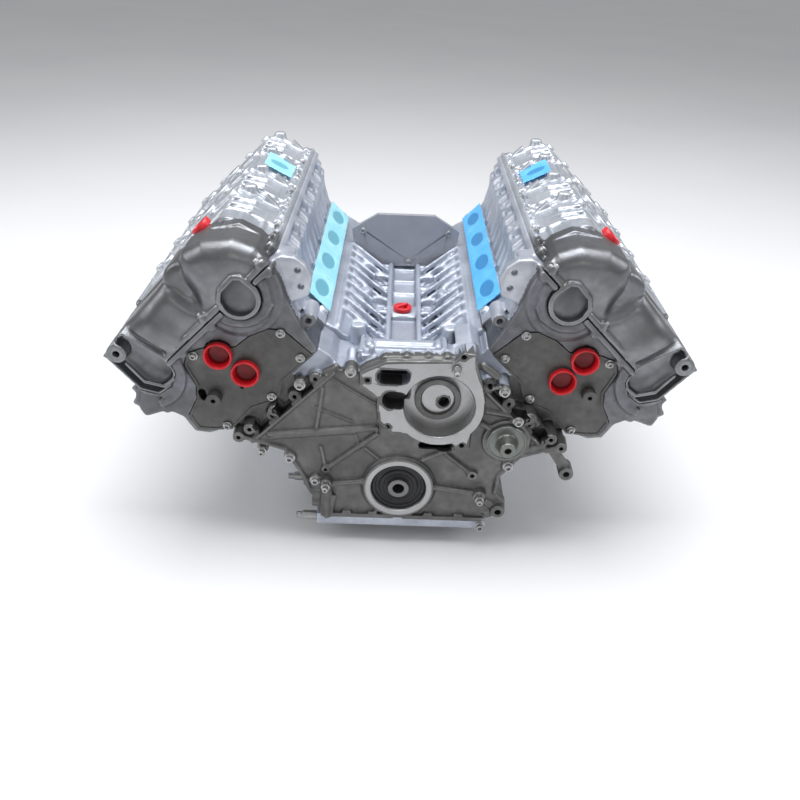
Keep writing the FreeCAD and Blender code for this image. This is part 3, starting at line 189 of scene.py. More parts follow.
M["piston"] = machined("piston_alloy", (0.62, 0.61, 0.60), 0.3, 0.9, (0.4, 0.4, 5))
M["bearing"] = machined("bearing_metal", (0.50, 0.47, 0.42), 0.2, 0.95, (0.4, 5, 0.4))
M["spring"] = machined("spring_wire", (0.30, 0.30, 0.33), 0.28, 0.9)
M["chain"] = machined("chain_links", (0.24, 0.235, 0.23), 0.36, 0.85)
M["gasket"] = machined("gasket_steel", (0.30, 0.30, 0.30), 0.4, 0.8)
M["guide"] = plastic("guide_nylon", (0.16, 0.12, 0.07), (0.10, 0.075, 0.045), 0.45)
M["rubber"] = plastic("seal_rubber", (0.018, 0.018, 0.019), (0.010, 0.010, 0.011), 0.5, 0.00008)
M["red"] = plastic("red_cap", (0.72, 0.012, 0.022), (0.55, 0.006, 0.014), 0.38, 0.00005, 0.15)
# darker copy of the red for the insides of the port cups: painted shade
M["reddeep"] = plastic("red_cap_painted_shade", (0.22, 0.006, 0.010), (0.15, 0.003, 0.006), 0.45)
M["hub"] = machined("hub_green", (0.20, 0.215, 0.20), 0.34, 0.8, (1, 1, 1))

# tape: thin film over the ports, with painted shade where it is pressed into them
tp, nt, b = nodes_of("blue_film", (0.2, 0.6, 0.9), 0.34, 0.0)
co = coords(nt)
at = nt.nodes.new("ShaderNodeAttribute"); at.attribute_name = "deep"
ab = nt.nodes.new("ShaderNodeAttribute"); ab.attribute_name = "warm"
film = mixc(nt, maprange(nt, noise(nt, co, 40.0, 3.0), 0.35, 0.7, 0, 1), (0.30, 0.70, 0.86), (0.42, 0.79, 0.90))
film2 = mixc(nt, maprange(nt, noise(nt, co, 40.0, 3.0), 0.35, 0.7, 0, 1), (0.085, 0.44, 0.86), (0.13, 0.52, 0.92))
film = mixc(nt, ab.outputs["Fac"], film, film2)
pressed_shade_col = mixc(nt, ab.outputs["Fac"], (0.13, 0.40, 0.50), (0.030, 0.235, 0.52))
# painted shade: the ovals pressed into the ports take the darker blue
film = mixc(nt, at.outputs["Fac"], film, pressed_shade_col)
nt.links.new(film, b.inputs["Base Color"])
b.inputs["Coat Weight"].default_value = 0.25
nt.links.new(maprange(nt, noise(nt, co, 160.0), 0.3, 0.7, 0.26, 0.46), b.inputs["Roughness"])
bump(nt, b, noise(nt, coords(nt, (1, 0.35, 1)), 120.0, 4.0, 0.6), 0.0006, 0.7)
M["tape"] = tp


# ------------------------------------------------------------------ solids in mm
def prism(pts, y0, y1):
    n = len(pts)
    a = [(x, y0, z) for x, z in pts] + [(x, y1, z) for x, z in pts]
    f = [tuple(range(n)), tuple(range(2 * n - 1, n - 1, -1))]
    f += [((i + 1) % n, i, n + i, n + (i + 1) % n) for i in range(n)]
    return np.array(a, float), f


def tri_area(pts):
    return sum(pts[i][0] * pts[(i + 1) % len(pts)][1] - pts[(i + 1) % len(pts)][0] * pts[i][1] for i in range(len(pts)))


def box(x0, x1, y0, y1, z0, z1):
    return prism([(x0, z0), (x1, z0), (x1, z1), (x0, z1)], y0, y1)


def frame_to(d):
    d = Vector(d).normalized()
    q = Vector((0, 0, 1)).rotation_difference(d)
    return np.array(q.to_matrix())


def lathe(p, d, prof, n=32, hexes=()):
    """Closed solid of revolution: prof is (distance along d, radius); the rings in hexes are six-sided."""
    rings = []
    for k, (t, r) in enumerate(prof):
        for i in range(n):
            a = 2 * math.pi * i / n
            rr = r
            if k in hexes:
                m = (a % (math.pi / 3)) - math.pi / 6
                rr = r * math.cos(math.pi / 6) / math.cos(m)
            rings.append((rr * math.cos(a), rr * math.sin(a), t))
    V = np.array(rings, float)
    F = []
    for k in range(len(prof) - 1):
        for i in range(n):
            j = (i + 1) % n
            F.append((k * n + i, k * n + j, (k + 1) * n + j, (k + 1) * n + i))
    F.append(tuple(range(n - 1, -1, -1)))
    m = (len(prof) - 1) * n
    F.append(tuple(m + i for i in range(n)))
    Rm = frame_to(d)
    return V @ Rm.T + np.array(p, float), F


def cyl(p, d, r, h, n=36):
    return lathe(p, d, [(0, r), (h, r)], n)


def cyly(x, z, r, y0, y1, n=40):
    return cyl((x, y0, z), (0, 1, 0), r, y1 - y0, n)


def ball(p, r, n=16):
    prof = []
    for k in range(1, n):
        a = math.pi * k / n
        prof.append((-r * math.cos(a), r * math.sin(a)))
    return lathe(p, (0, 0, 1), prof, 20)


def bar(a, b, r):
    a = Vector(a); b = Vector(b)
    d = b - a
    return join([cyl(a, d, r, d.length, 20), ball(a, r), ball(b, r)])


def rib(p, q, t, y0, y1):
    dx, dz = q[0] - p[0], q[1] - p[1]
    n = math.hypot(dx, dz)
    ox, oz = -dz / n * t / 2, dx / n * t / 2
    return prism([(p[0] + ox, p[1] + oz), (q[0] + ox, q[1] + oz), (q[0] - ox, q[1] - oz), (p[0] - ox, p[1] - oz)], y0, y1)


def arc(cx, cz, r, a0, a1, n=24):
    return [(cx + r * math.cos(math.radians(a0 + (a1 - a0) * i / n)), cz + r * math.sin(math.radians(a0 + (a1 - a0) * i / n))) for i in range(n + 1)]


def sector(cx, cz, ri, ro, a0, a1, y0, y1, n=28):
    return prism(arc(cx, cz, ro, a0, a1, n) + arc(cx, cz, ri, a1, a0, n), y0, y1)


def slab(p, u, w, t):
    """Parallelepiped from corner p with edges u, w, t."""
    p, u, w, t = (np.array(k, float) for k in (p, u, w, t))
    V = [p, p + u, p + u + w, p + w, p + t, p + u + t, p + u + w + t, p + w + t]
    return np.array(V), [(3, 2, 1, 0), (4, 5, 6, 7), (0, 1, 5, 4), (1, 2, 6, 5), (2, 3, 7, 6), (3, 0, 4, 7)]


def join(parts):
    V, F, o = [], [], 0
    for v, f in parts:
        V.append(v)
        F += [tuple(i + o for i in q) for q in f]
        o += len(v)
    return np.concatenate(V), F


def bank(s, part):
    """Bank frame (s*v, y, u) into the engine frame."""
    V, F = part
    a = math.radians(45.0 * s)
    x = V[:, 0] * math.cos(a) + V[:, 2] * math.sin(a)
    z = -V[:, 0] * math.sin(a) + V[:, 2] * math.cos(a)
    return np.stack([x, V[:, 1], z], 1), F


def loc(s, pts):
    return [(s * v, u) for v, u in pts]


def inset(pts, d):
    n = len(pts)
    sgn = 1.0 if tri_area(pts) > 0 else -1.0
    out = []
    for i in range(n):
        a, b, c = pts[i - 1], pts[i], pts[(i + 1) % n]
        e1 = (b[0] - a[0], b[1] - a[1]); e2 = (c[0] - b[0], c[1] - b[1])
        l1 = math.hypot(*e1); l2 = math.hypot(*e2)
        n1 = (-e1[1] / l1 * sgn, e1[0] / l1 * sgn); n2 = (-e2[1] / l2 * sgn, e2[0] / l2 * sgn)
        k = max(0.25, 1.0 + n1[0] * n2[0] + n1[1] * n2[1])
        out.append((b[0] + d * (n1[0] + n2[0]) / k, b[1] + d * (n1[1] + n2[1]) / k))
    return out


def mesh_obj(name, part):
    V, F = part
    me = bpy.data.meshes.new(name)
    me.from_pydata((np.asarray(V) * 0.001).tolist(), [], [list(f) for f in F])
    bm = bmesh.new(); bm.from_mesh(me)
    bmesh.ops.recalc_face_normals(bm, faces=bm.faces)
    bm.to_mesh(me); bm.free()
    o = bpy.data.objects.new(name, me)
    bpy.context.collection.objects.link(o)
    return o


def node_copy(node, name):
    o = NODES[node]
    me = o.data.copy()
    me.name = name
    bm = bmesh.new(); bm.from_mesh(me)
    bmesh.ops.remove_doubles(bm, verts=bm.verts, dist=2e-6)
    bm.to_mesh(me); bm.free()
    c = bpy.data.objects.new(name, me)
    bpy.context.collection.objects.link(c)
    c.matrix_world = o.matrix_world.copy()
    me.transform(c.matrix_world)
    c.matrix_world = Matrix()
    for a in list(me.attributes):
        if a.name.startswith("custom_normal") or a.name.startswith("sharp"):
            me.attributes.remove(a)
    return c


def settle(o):
    """Applies the modifiers of a piece to its mesh."""
    dg = bpy.context.evaluated_depsgraph_get()
    me = bpy.data.meshes.new_from_object(o.evaluated_get(dg))
    old = o.data
    o.modifiers.clear()
    o.data = me
    me.name = o.name
    bpy.data.meshes.remove(old)
    return o


def boolean(o, part, op, solver="MANIFOLD", mat=None):
    t = part if isinstance(part, bpy.types.Object) else mesh_obj("tool", part)
    n0 = len(o.data.polygons)
    if mat is not None:
        t.data.materials.clear(); t.data.materials.append(mat)
    m = o.modifiers.new("b", "BOOLEAN")
    m.operation = op
    m.object = t
    m.solver = solver
    try:
        m.material_mode = "TRANSFER"
    except Exception:
        pass
    settle(o)
    me = t.data
    bpy.data.objects.remove(t)
    bpy.data.meshes.remove(me)
    if len(o.data.polygons) == 0:
        print("BOOLEAN EMPTY", o.name, op)
    return o


def merge(o, parts):
    """Adds closed solids to a mesh, still overlapping; the voxel pass unites them."""
    t = mesh_obj("t", join(parts))
    bm = bmesh.new()
    bm.from_mesh(o.data)
    bm.from_mesh(t.data)
    bm.to_mesh(o.data); bm.free()
    me = t.data
    bpy.data.objects.remove(t); bpy.data.meshes.remove(me)


def cast(o, voxel, smooth=5, factor=0.5, limit=195000):
    m = o.modifiers.new("v", "REMESH")
    m.mode = "VOXEL"; m.voxel_size = voxel * 0.001; m.use_smooth_shade = True
    if smooth:
        k = o.modifiers.new("s", "SMOOTH"); k.factor = factor; k.iterations = smooth
    settle(o)
    tris = 2 * len(o.data.polygons)
    print("CAST", o.name, voxel, "tris", tris, flush=True)
    return o


def thin(o, limit=190000):
    tris = sum(len(p.vertices) - 2 for p in o.data.polygons)
    if tris > limit:
        d = o.modifiers.new("d", "DECIMATE"); d.ratio = limit / tris
        settle(o)


def smooth_by(o, deg=42):
    o.data.shade_smooth()
    o.data.set_sharp_from_angle(angle=math.radians(deg))


def finish_piece(o, mats, body, replaces=()):
    me = o.data
    if isinstance(mats, (list, tuple)):
        ms = list(mats)
    else:
        ms = [mats]
    if len(ms) == 1 or len(me.materials) == 0:
        me.materials.clear()
        for m in ms:
            me.materials.append(m)
    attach(o, body)
    if replaces:
        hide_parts(*replaces)
    return o


def split_by_y(o, mats, y, ear=None):
    """Second material on the faces behind y (mm), and on the valley side ear behind its own y: the lighter copy of the
    cast finish, painted light on the roof and valley faces, while the front keeps the darker copy as painted shade.
    """
    me = o.data
    me.materials.clear()
    for m in mats:
        me.materials.append(m)
    n = len(me.polygons)
    c = np.empty(n * 3, np.float32)
    me.polygons.foreach_get("center", c)
    c = c.reshape(-1, 3) * 1000
    k = c[:, 1] > y
    if ear is not None:
        s_, ye = ear
        v = (s_ * c[:, 0] - c[:, 2]) / R2
        k |= (c[:, 1] > ye) & (v < -72)
    me.polygons.foreach_set("material_index", k.astype(np.int32))


def bevelled(node, mat, width=0.4, angle=35, seg=2):
    o = NODES[node]
    for sl in o.material_slots:
        sl.material = mat
    w = o.modifiers.new("weld", "WELD"); w.merge_threshold = 2e-6
    if width:
        b = o.modifiers.new("bevel", "BEVEL")
        b.width = width * 0.001; b.segments = seg
        b.limit_method = "ANGLE"; b.angle_limit = math.radians(angle)
        b.use_clamp_overlap = True
        b.harden_normals = False
    return o


# ------------------------------------------------------------------ height fields for domed fronts
def pip(px, py, poly):
    ins = np.zeros(px.shape, bool)
    n = len(poly)
    for i in range(n):
        x0, y0 = poly[i]; x1, y1 = poly[(i + 1) % n]
        c = ((y0 > py) != (y1 > py))
        with np.errstate(divide="ignore", invalid="ignore"):
            xi = (x1 - x0) * (py - y0) / (y1 - y0 if y1 != y0 else 1e-9) + x0
        ins ^= c & (px < xi)
    return ins


def segdist(px, py, a, b):
    ax, ay = a; bx, by = b
    dx, dy = bx - ax, by - ay
    t = np.clip(((px - ax) * dx + (py - ay) * dy) / (dx * dx + dy * dy), 0, 1)
    return np.hypot(px - ax - t * dx, py - ay - t * dy), ax + t * dx, ay + t * dy


def polydist(px, py, poly, closed=True):
    best = np.full(px.shape, 1e9); qx = px.copy(); qy = py.copy()
    n = len(poly)
    for i in range(n if closed else n - 1):
        d, cx, cy = segdist(px, py, poly[i], poly[(i + 1) % n])
        k = d < best
        best = np.where(k, d, best); qx = np.where(k, cx, qx); qy = np.where(k, cy, qy)
    return best, qx, qy


def smooth01(x, a, b):
    t = np.clip((x - a) / (b - a), 0, 1)
    return t * t * (3 - 2 * t)


def hf_solid(poly, yfun, yback, step=1.3):
    xs = [p[0] for p in poly]; zs = [p[1] for p in poly]
    gx = np.arange(min(xs) - step, max(xs) + 2 * step, step)
    gz = np.arange(min(zs) - step, max(zs) + 2 * step, step)
    X, Z = np.meshgrid(gx, gz, indexing="ij")
    ins = pip(X, Z, poly)
    # grow by one cell, and pull the outer ring onto the outline
    near = ins.copy()
    near[1:] |= ins[:-1]; near[:-1] |= ins[1:]; near[:, 1:] |= ins[:, :-1]; near[:, :-1] |= ins[:, 1:]
    d, qx, qz = polydist(X, Z, poly)
    X2 = np.where(ins, X, qx); Z2 = np.where(ins, Z, qz)
    Y = yfun(X2, Z2)
    idx = -np.ones(X.shape, int)
    cell = near[:-1, :-1] & near[1:, :-1] & near[1:, 1:] & near[:-1, 1:]
    used = np.zeros(X.shape, bool)
    used[:-1, :-1] |= cell; used[1:, :-1] |= cell; used[1:, 1:] |= cell; used[:-1, 1:] |= cell
    k = np.argwhere(used)
    idx[used] = np.arange(len(k))
    n = len(k)
    Vf = np.stack([X2[used], Y[used], Z2[used]], 1)
    Vb = Vf.copy(); Vb[:, 1] = yback
    V = np.concatenate([Vf, Vb])
    F = []
    cs = np.argwhere(cell)
    quads = np.stack([idx[cs[:, 0], cs[:, 1]], idx[cs[:, 0] + 1, cs[:, 1]], idx[cs[:, 0] + 1, cs[:, 1] + 1], idx[cs[:, 0], cs[:, 1] + 1]], 1)
    ed = {}
    for q in quads.tolist():
        F.append((q[0], q[1], q[2], q[3]))
        F.append((q[3] + n, q[2] + n, q[1] + n, q[0] + n))
        for i in range(4):
            a, b2 = q[i], q[(i + 1) % 4]
            if (b2, a) in ed:
                del ed[(b2, a)]
            else:
                ed[(a, b2)] = 1
    for a, b2 in ed:
        F.append((b2, a, a + n, b2 + n))
    return V, F


# ------------------------------------------------------------------ bolts
def hexbolt(p, d, r, h, flange=1.6, shank=2.6, socket=True):
    """Flanged bolt: domed flange, chamfered head, six-sided socket, short shank."""
    D = Vector(d).normalized(); P = Vector(p)
    rf = r + flange
    prof = [(-6.0, shank), (0.0, shank), (0.0, rf - 0.3), (0.35, rf), (1.0, rf), (1.7, r + 0.5), (1.9, r), (h - 0.8, r), (h - 0.2, r - 0.5), (h, r - 1.1)]
    hx = []
    if socket:
        prof += [(h, 0.62 * r), (h - 0.3, 0.56 * r), (h * 0.45, 0.54 * r)]
        hx = [10, 11, 12]
    return lathe(P, D, prof, 24, hx)


def hexhead(p, d, r, h, flange=1.8, shank=2.8):
    """Outer hexagon head on a round flange."""
    D = Vector(d).normalized(); P = Vector(p)
    rf = r + flange
    prof = [(-6.0, shank), (0.0, shank), (0.0, rf), (0.9, rf), (1.6, r + 0.2), (1.7, r), (h - 0.9, r), (h, r - 1.2), (h - 0.5, 0.45 * r), (h - 0.6, 0.1 * r)]
    return lathe(P, D, prof, 30, [5, 6])


def bank_dir(s, d):
    a = math.radians(45.0 * s)
    return (d[0] * math.cos(a) + d[2] * math.sin(a), d[1], -d[0] * math.sin(a) + d[2] * math.cos(a))


def bank_pt(s, v, y, u):
    return (s * (u + v) / R2, y, (u - v) / R2)


# ================================================================== the castings
COVER_FRONT = [(-103, 334), (-104, 356), (-92, 382), (-62, 405), (-36, 412), (-12, 403), (40, 400), (100, 398), (136, 392), (141, 330), (128, 309), (108, 306), (90, 314), (80, 334)]
FRONT = [(-63, 215), (-73, 255), (-86, 290), (-97, 310), (-103, RAIL), (80, RAIL), (90, 314), (108, 306), (128, 309), (141, 328), (152, 322), (168, 313), (172, 300), (152, 296), (140, 288), (133, 265), (139, 240), (127, 226), (101, 215)]
PLATE = [(-54, 214), (-52, 262), (-40, 276), (-16, 285), (8, 287), (24, 296), (40, 314), (60, 322), (74, 314), (80, 300), (86, 284), (100, 272), (128, 262), (135, 240), (122, 226), (103, 210), (60, 213), (36, 203), (20, 203), (2, 213)]
PORTS = {-1: [(31, 295), (25, 255)], 1: [(30, 295), (34, 256)]}
CUP = (-48.0, 329.0)


def build_cover(s):
    nm = SIDE[s]
    Y0 = 35.6 + DY[s]; YF = Y0 - 8; YB = Y0 + 60; YE = 518 + DY[s]

    def yf(x, z):
        v = s * x; u = z
        y = np.full(v.shape, YF + 1.0)
        # big roof rounding
        top = [(-104, 350), (-104, 356), (-92, 382), (-62, 405), (-36, 412), (-12, 403), (40, 400), (100, 398)]
        d, _, _ = polydist(v, u, top, closed=False)
        Rr = 20.0
        dd = np.clip(d, 0, Rr)
        y += (Rr - np.sqrt(np.maximum(Rr * Rr - (Rr - dd) ** 2, 0))) * 0.95
        # two bulges with a soft valley between them
        vc = 1.0 - 0.12 * (u - 340)
        w = 8.0 + 10.0 * smooth01(u, 345, 402)
        dep = 9.0 * smooth01(u, 338, 362)
        y += dep * np.exp(-((v - vc) / w) ** 2)
        # triangular flat beside the first bulge
        tri = smooth01(v, -30, -8) * (1 - smooth01(v, 4, 16)) * smooth01(u, 348, 372)
        y += 3.5 * tri
        # bulges swell forward in their middles
        y -= 4.0 * np.exp(-((v + 58) / 30) ** 2 - ((u - 368) / 26) ** 2)
        y -= 6.5 * np.exp(-((v - 58) / 19) ** 2 - ((u - 360) / 34) ** 2)
        # pocket beyond the ridge
        line = 79.0 + (u - 334.0) * (93.0 - 79.0) / (396.0 - 334.0)
        side = v - line
        pk = smooth01(side, 1.0, 4.0)
        edge, _, _ = polydist(v, u, [(88, 398), (136, 392), (141, 330), (128, 309), (108, 306), (90, 314), (80, 334)], closed=False)
        rimw = smooth01(edge, 2.5, 6.0)
        dd2 = np.clip(d, 0, 12.0)
        soft = 6.0 - np.sqrt(np.maximum(144.0 - (12.0 - dd2) ** 2, 0)) * 0.5
        k = smooth01(side, -9.0, -7.0)
        yr = YF + 6.0 - 10.0 * np.clip((side + 7.5) / 7.5, 0, 1) + soft
        y = y * (1 - k) + yr * k
        y = np.where(side > 0.5, YF - 4.0 + soft * (1 - smooth01(side, 2, 8)) + 6.0 * smooth01(side, 2, 12), y)
        y += pk * rimw * (19.0 - 4.0 * smooth01(u, 345, 392))
        return y

    poly = loc(s, COVER_FRONT)
    parts = [bank(s, hf_solid(poly, yf, YB))]
    # ridge, corner boss, lip
    parts.append(bank(s, cyly(s * 119, 383, 12.5, YF - 3, YF + 30)))
    parts.append(bank(s, prism(loc(s, [(107, 383), (119, 371), (131, 383), (136, 392), (110, 396)]), YF - 1, YF + 24)))
    parts.append(bank(s, bar((s * 114, YF + 2.2, 313), (s * 127, YF + 2.2, 334), 2.6)))
    parts.append(bank(s, bar((s * 127, YF + 2.2, 334), (s * 124, YF + 3.2, 366), 2.2)))
    parts.append(bank(s, bar((s * 98, YF + 2.4, 311), (s * 114, YF + 2.2, 313), 2.6)))
    # rail flange with its little bolt pads
    for v0, v1 in ((-107, -76), (-21, 83)):
        parts.append(bank(s, prism(loc(s, [(v0, 334.4), (v1, 334.4), (v1, 340.8), (v0, 340.8)]), YF - 3.2, YF + 12)))
        parts.append(bank(s, prism(loc(s, [(v0 + 2, 340), (v1 - 2, 340), (v1 - 2, 344), (v0 + 2, 344)]), YF + 0.5, YF + 12)))
    for v in (-97, 4, 58):
        parts.append(bank(s, cyl((s * v, YF + 2.0, 334.4), (0, 0, 1), 6.2, 10.5)))
    # cup: five-sided at the top, round below
    out = arc(CUP[0], CUP[1], 26.8, 8, -188, 40) + [(-73, 347), (-64, 355.5), (-38, 354), (-25.5, 345)]
    parts.append(bank(s, prism(loc(s, out), YF - 5.5, YF + 9)))
    # rear body, valley wall leaning outwards
    sec = [(-103, 334.4), (-103, 343), (-88, 389), (-78, 397), (-56, 400), (88, 399), (99, 391), (106, 360), (106, 334.4)]
    parts.append(bank(s, prism(loc(s, sec), YB - 4, YE)))
    # arched step behind the dome
    arch = [(-103, 334.4), (-104, 358), (-95, 384), (-66, 404), (-38, 410), (-8, 404), (60, 401), (98, 398), (104, 334.4)]
    parts.append(bank(s, prism(loc(s, arch), YB - 10, YB + 10)))
    # long round hump over the roof and the arched hump behind the step
    parts.append(bank(s, lathe((s * -8, YF + 12, 386), (0, 1, 0), [(0, 16), (2, 22), (6, 25), (66, 25), (68, 23.5)], 44)))
    parts.append(bank(s, lathe((s * -70, YB + 8, 384), (0, 1, 0), [(0, 17.5), (1.5, 19), (30, 19), (36, 16)], 36)))
    parts.append(bank(s, prism(loc(s, [(-98, 356), (-92, 384), (-74, 401), (-52, 401), (-50, 380)]), YB + 8, YB + 42)))
    # plug wells, collars, ribs across the roof, ribbed valley wall
    for i in range(4):
        y = cyl_y(s, i)
        parts.append(bank(s, lathe((s * 0, y, 380), (0, 0, 1), [(0, 24), (16, 21.5), (22, 20), (27, 20), (28, 18.8)], 40)))
        for dy in (-17, 17):
            parts.append(bank(s, cyl((s * 27, y + dy, 392), (0, 0, 1), 6.0, 12.0)))
        for dy in (44.0, 52.0):
            if y + dy < YE - 3:
                parts.append(bank(s, prism(loc(s, [(-80, 392), (-76, 401.5), (-56, 403.5), (88, 402.5), (98, 395), (98, 386)]), y + dy - 1.8, y + dy + 1.8)))
                parts.append(bank(s, prism(loc(s, [(-104.5, 342), (-106.5, 346), (-91, 392), (-79, 401), (-74, 396)]), y + dy - 1.8, y + dy + 1.8)))
        for dy in (-2.0, -30.0, 24.0):
            if i == 2:
                continue
            parts.append(bank(s, prism(loc(s, [(-104.0, 342), (-105.5, 346), (-93.5, 382), (-86, 384)]), y + dy - 2.2, y + dy + 2.2)))
        # pads at the foot of the wall
        parts.append(bank(s, prism(loc(s, [(-112, 341), (-110, 349), (-101, 353), (-98, 341)]), y + 34, y + 50)))
        parts.append(bank(s, prism(loc(s, [(-110, 341), (-108, 346), (-101, 349), (-98, 341)]), y - 18, y - 4)))
        # long panel raised between the ribs
        parts.append(bank(s, slab((s * -103.2, y - 26, 347), (0, 48, 0), (s * 12.5, 0, 34), (s * -1.8, 0, 0.7))))
    # raised roof panels, step lines, bolt towers
    parts.append(bank(s, bar((s * -74, YB + 40, 400.5), (s * -74, YE - 6, 400.5), 3.4)))
    parts.append(bank(s, bar((s * 88, YB + 6, 400), (s * 88, YE - 6, 400), 3.2)))
    parts.append(bank(s, bar((s * -99.5, YB + 8, 357), (s * -99.5, YE - 4, 357), 2.4)))
    for i in range(4):
        y = cyl_y(s, i)
        parts.append(bank(s, prism(loc(s, [(-70, 398), (-68, 403.5), (-28, 404), (-26, 398)]), y - 20, y + 22)))
        parts.append(bank(s, prism(loc(s, [(30, 398), (32, 403), (78, 403), (80, 398)]), y - 30, y + 6)))
        parts.append(bank(s, prism(loc(s, [(-24, 398), (-22, 401.5), (26, 401.5), (28, 398)]), y - 46, y + 46)))
        for v, dy in ((-72, 34), (-30, 40), (80, 34), (34, 42)):
            parts.append(bank(s, lathe((s * v, y + dy, 392), (0, 0, 1), [(0, 8.5), (13, 7.4), (15.5, 6.6)], 22)))
        for dy in (-32, -14, 10) if i != 2 else ():
            parts.append(bank(s, bar((s * -96, y + dy, 378), (s * -80, y + dy, 401), 1.9)))
        parts.append(bank(s, lathe((s * -86, y + 48, 386), (-0.7 * s, 0, 0.7), [(0, 11), (11, 9.0), (13, 8.0)], 22)))
        parts.append(bank(s, box(*sorted((s * -98, s * -106)), y + 28, y + 40, 343, 372)))
    # coil sockets and lugs along the outer side of the roof
    for k in range(4):
        y = cyl_y(s, k) + 30
        parts.append(bank(s, lathe((s * 62, y, 385), (0, 0, 1), [(0, 14), (14, 12.5), (19, 11.5), (21, 10.0)], 28)))
        parts.append(bank(s, prism(loc(s, [(70, 396), (72, 405), (92, 403), (98, 392)]), y - 24, y - 15)))
    # outer lower rail flange and bosses
    parts.append(bank(s, prism(loc(s, [(101, 334.4), (101, 341), (117, 341), (117, 334.4)]), YB + 4, YE)))
    parts.append(bank(s, prism(loc(s, [(-115, 334.4), (-115, 341), (-101, 341), (-101, 334.4)]), Y0 + 24, YE)))
    for k in range(7):
        y = Y0 + 32 + k * (YE - Y0 - 45) / 6.0
        parts.append(bank(s, cyl((s * -109.4, y, 334.4), (0, 0, 1), 6.8, 6.6, 24)))
        if k < 6:
            parts.append(bank(s, slab((s * -112, y + 30, 341), (0, 14, 0), (s * 12, 0, 0), (0, 0, 5))))
    for k in range(6):
        y = YB + 16 + k * (YE - YB - 30) / 5.0
        parts.append(bank(s, cyl((s * 111.6, y, 334.4), (0, 0, 1), 6.8, 6.6, 24)))
    # end cap ridge
    parts.append(bank(s, prism(loc(s, [(-103, 334.4), (-104, 345), (-90, 391), (-79, 400.5), (-56, 403), (92, 402), (102, 392), (108, 360), (108, 334.4)]), YE - 12, YE)))
    o = mesh_obj("cover_" + nm, join(parts))
    # hollow of the chain room and of the cam room
    cast(o, 1.4, 5)
    boolean(o, join([bank(s, cyly(s * sd * 43.0, 327, 42.9, Y0 + 9, YB + 6)) for sd in (-1, 1)]), "DIFFERENCE")
    boolean(o, bank(s, prism(loc(s, [(-97, 330), (-89, 362), (-76, 384), (-56, 389), (84, 389), (92, 384), (97, 330)]), YB + 2, YE - 6)), "DIFFERENCE")
    tools = [bank(s, cyl((0, cyl_y(s, i), 391.5), (0, 0, 1), 12.0, 60)) for i in range(4)]
    tools += [bank(s, lathe((s * 119, YF - 6, 383), (0, 1, 0), [(0, 4.6), (3.2, 4.6), (4.2, 3.8), (26, 3.8)], 28))]
    tools += [bank(s, cyl((s * -45, YB + 22, 391), (0, 0, 1), 9.9, 30))]
    cin = arc(CUP[0], CUP[1], 21.3, 6, -186, 40) + [(-68, 345), (-61.8, 350.3), (-40, 349.2), (-30.5, 342)]
    tools += [bank(s, prism(loc(s, cin), YF - 20, YF + 2.8))]
    for k in range(4):
        tools += [bank(s, cyl((s * 62, cyl_y(s, k) + 30, 398), (0, 0, 1), 7.0, 20))]
    tools += [bank(s, prism(loc(s, [(-28, 397), (-28, 420), (6, 420), (6, 397)]), YB + 0, YB + 12))]
    tools += [bank(s, prism(loc(s, [(-84, 372), (-80, 384), (-70, 392), (-62, 392), (-58, 380), (-66, 372)]), YB - 2, YB + 1.0))]
    boolean(o, join(tools), "DIFFERENCE")
    thin(o)
    smooth_by(o, 40)
    # painted light and shade: faces behind the dome take the lighter rear copy of the cover finish, the front faces the
    # darker copy
    split_by_y(o, [M["cover"], M["coverrear"]], YB + 10.5)
    return finish_piece(o, [M["cover"], M["coverrear"]], "engine", ["cam_cover_" + nm])


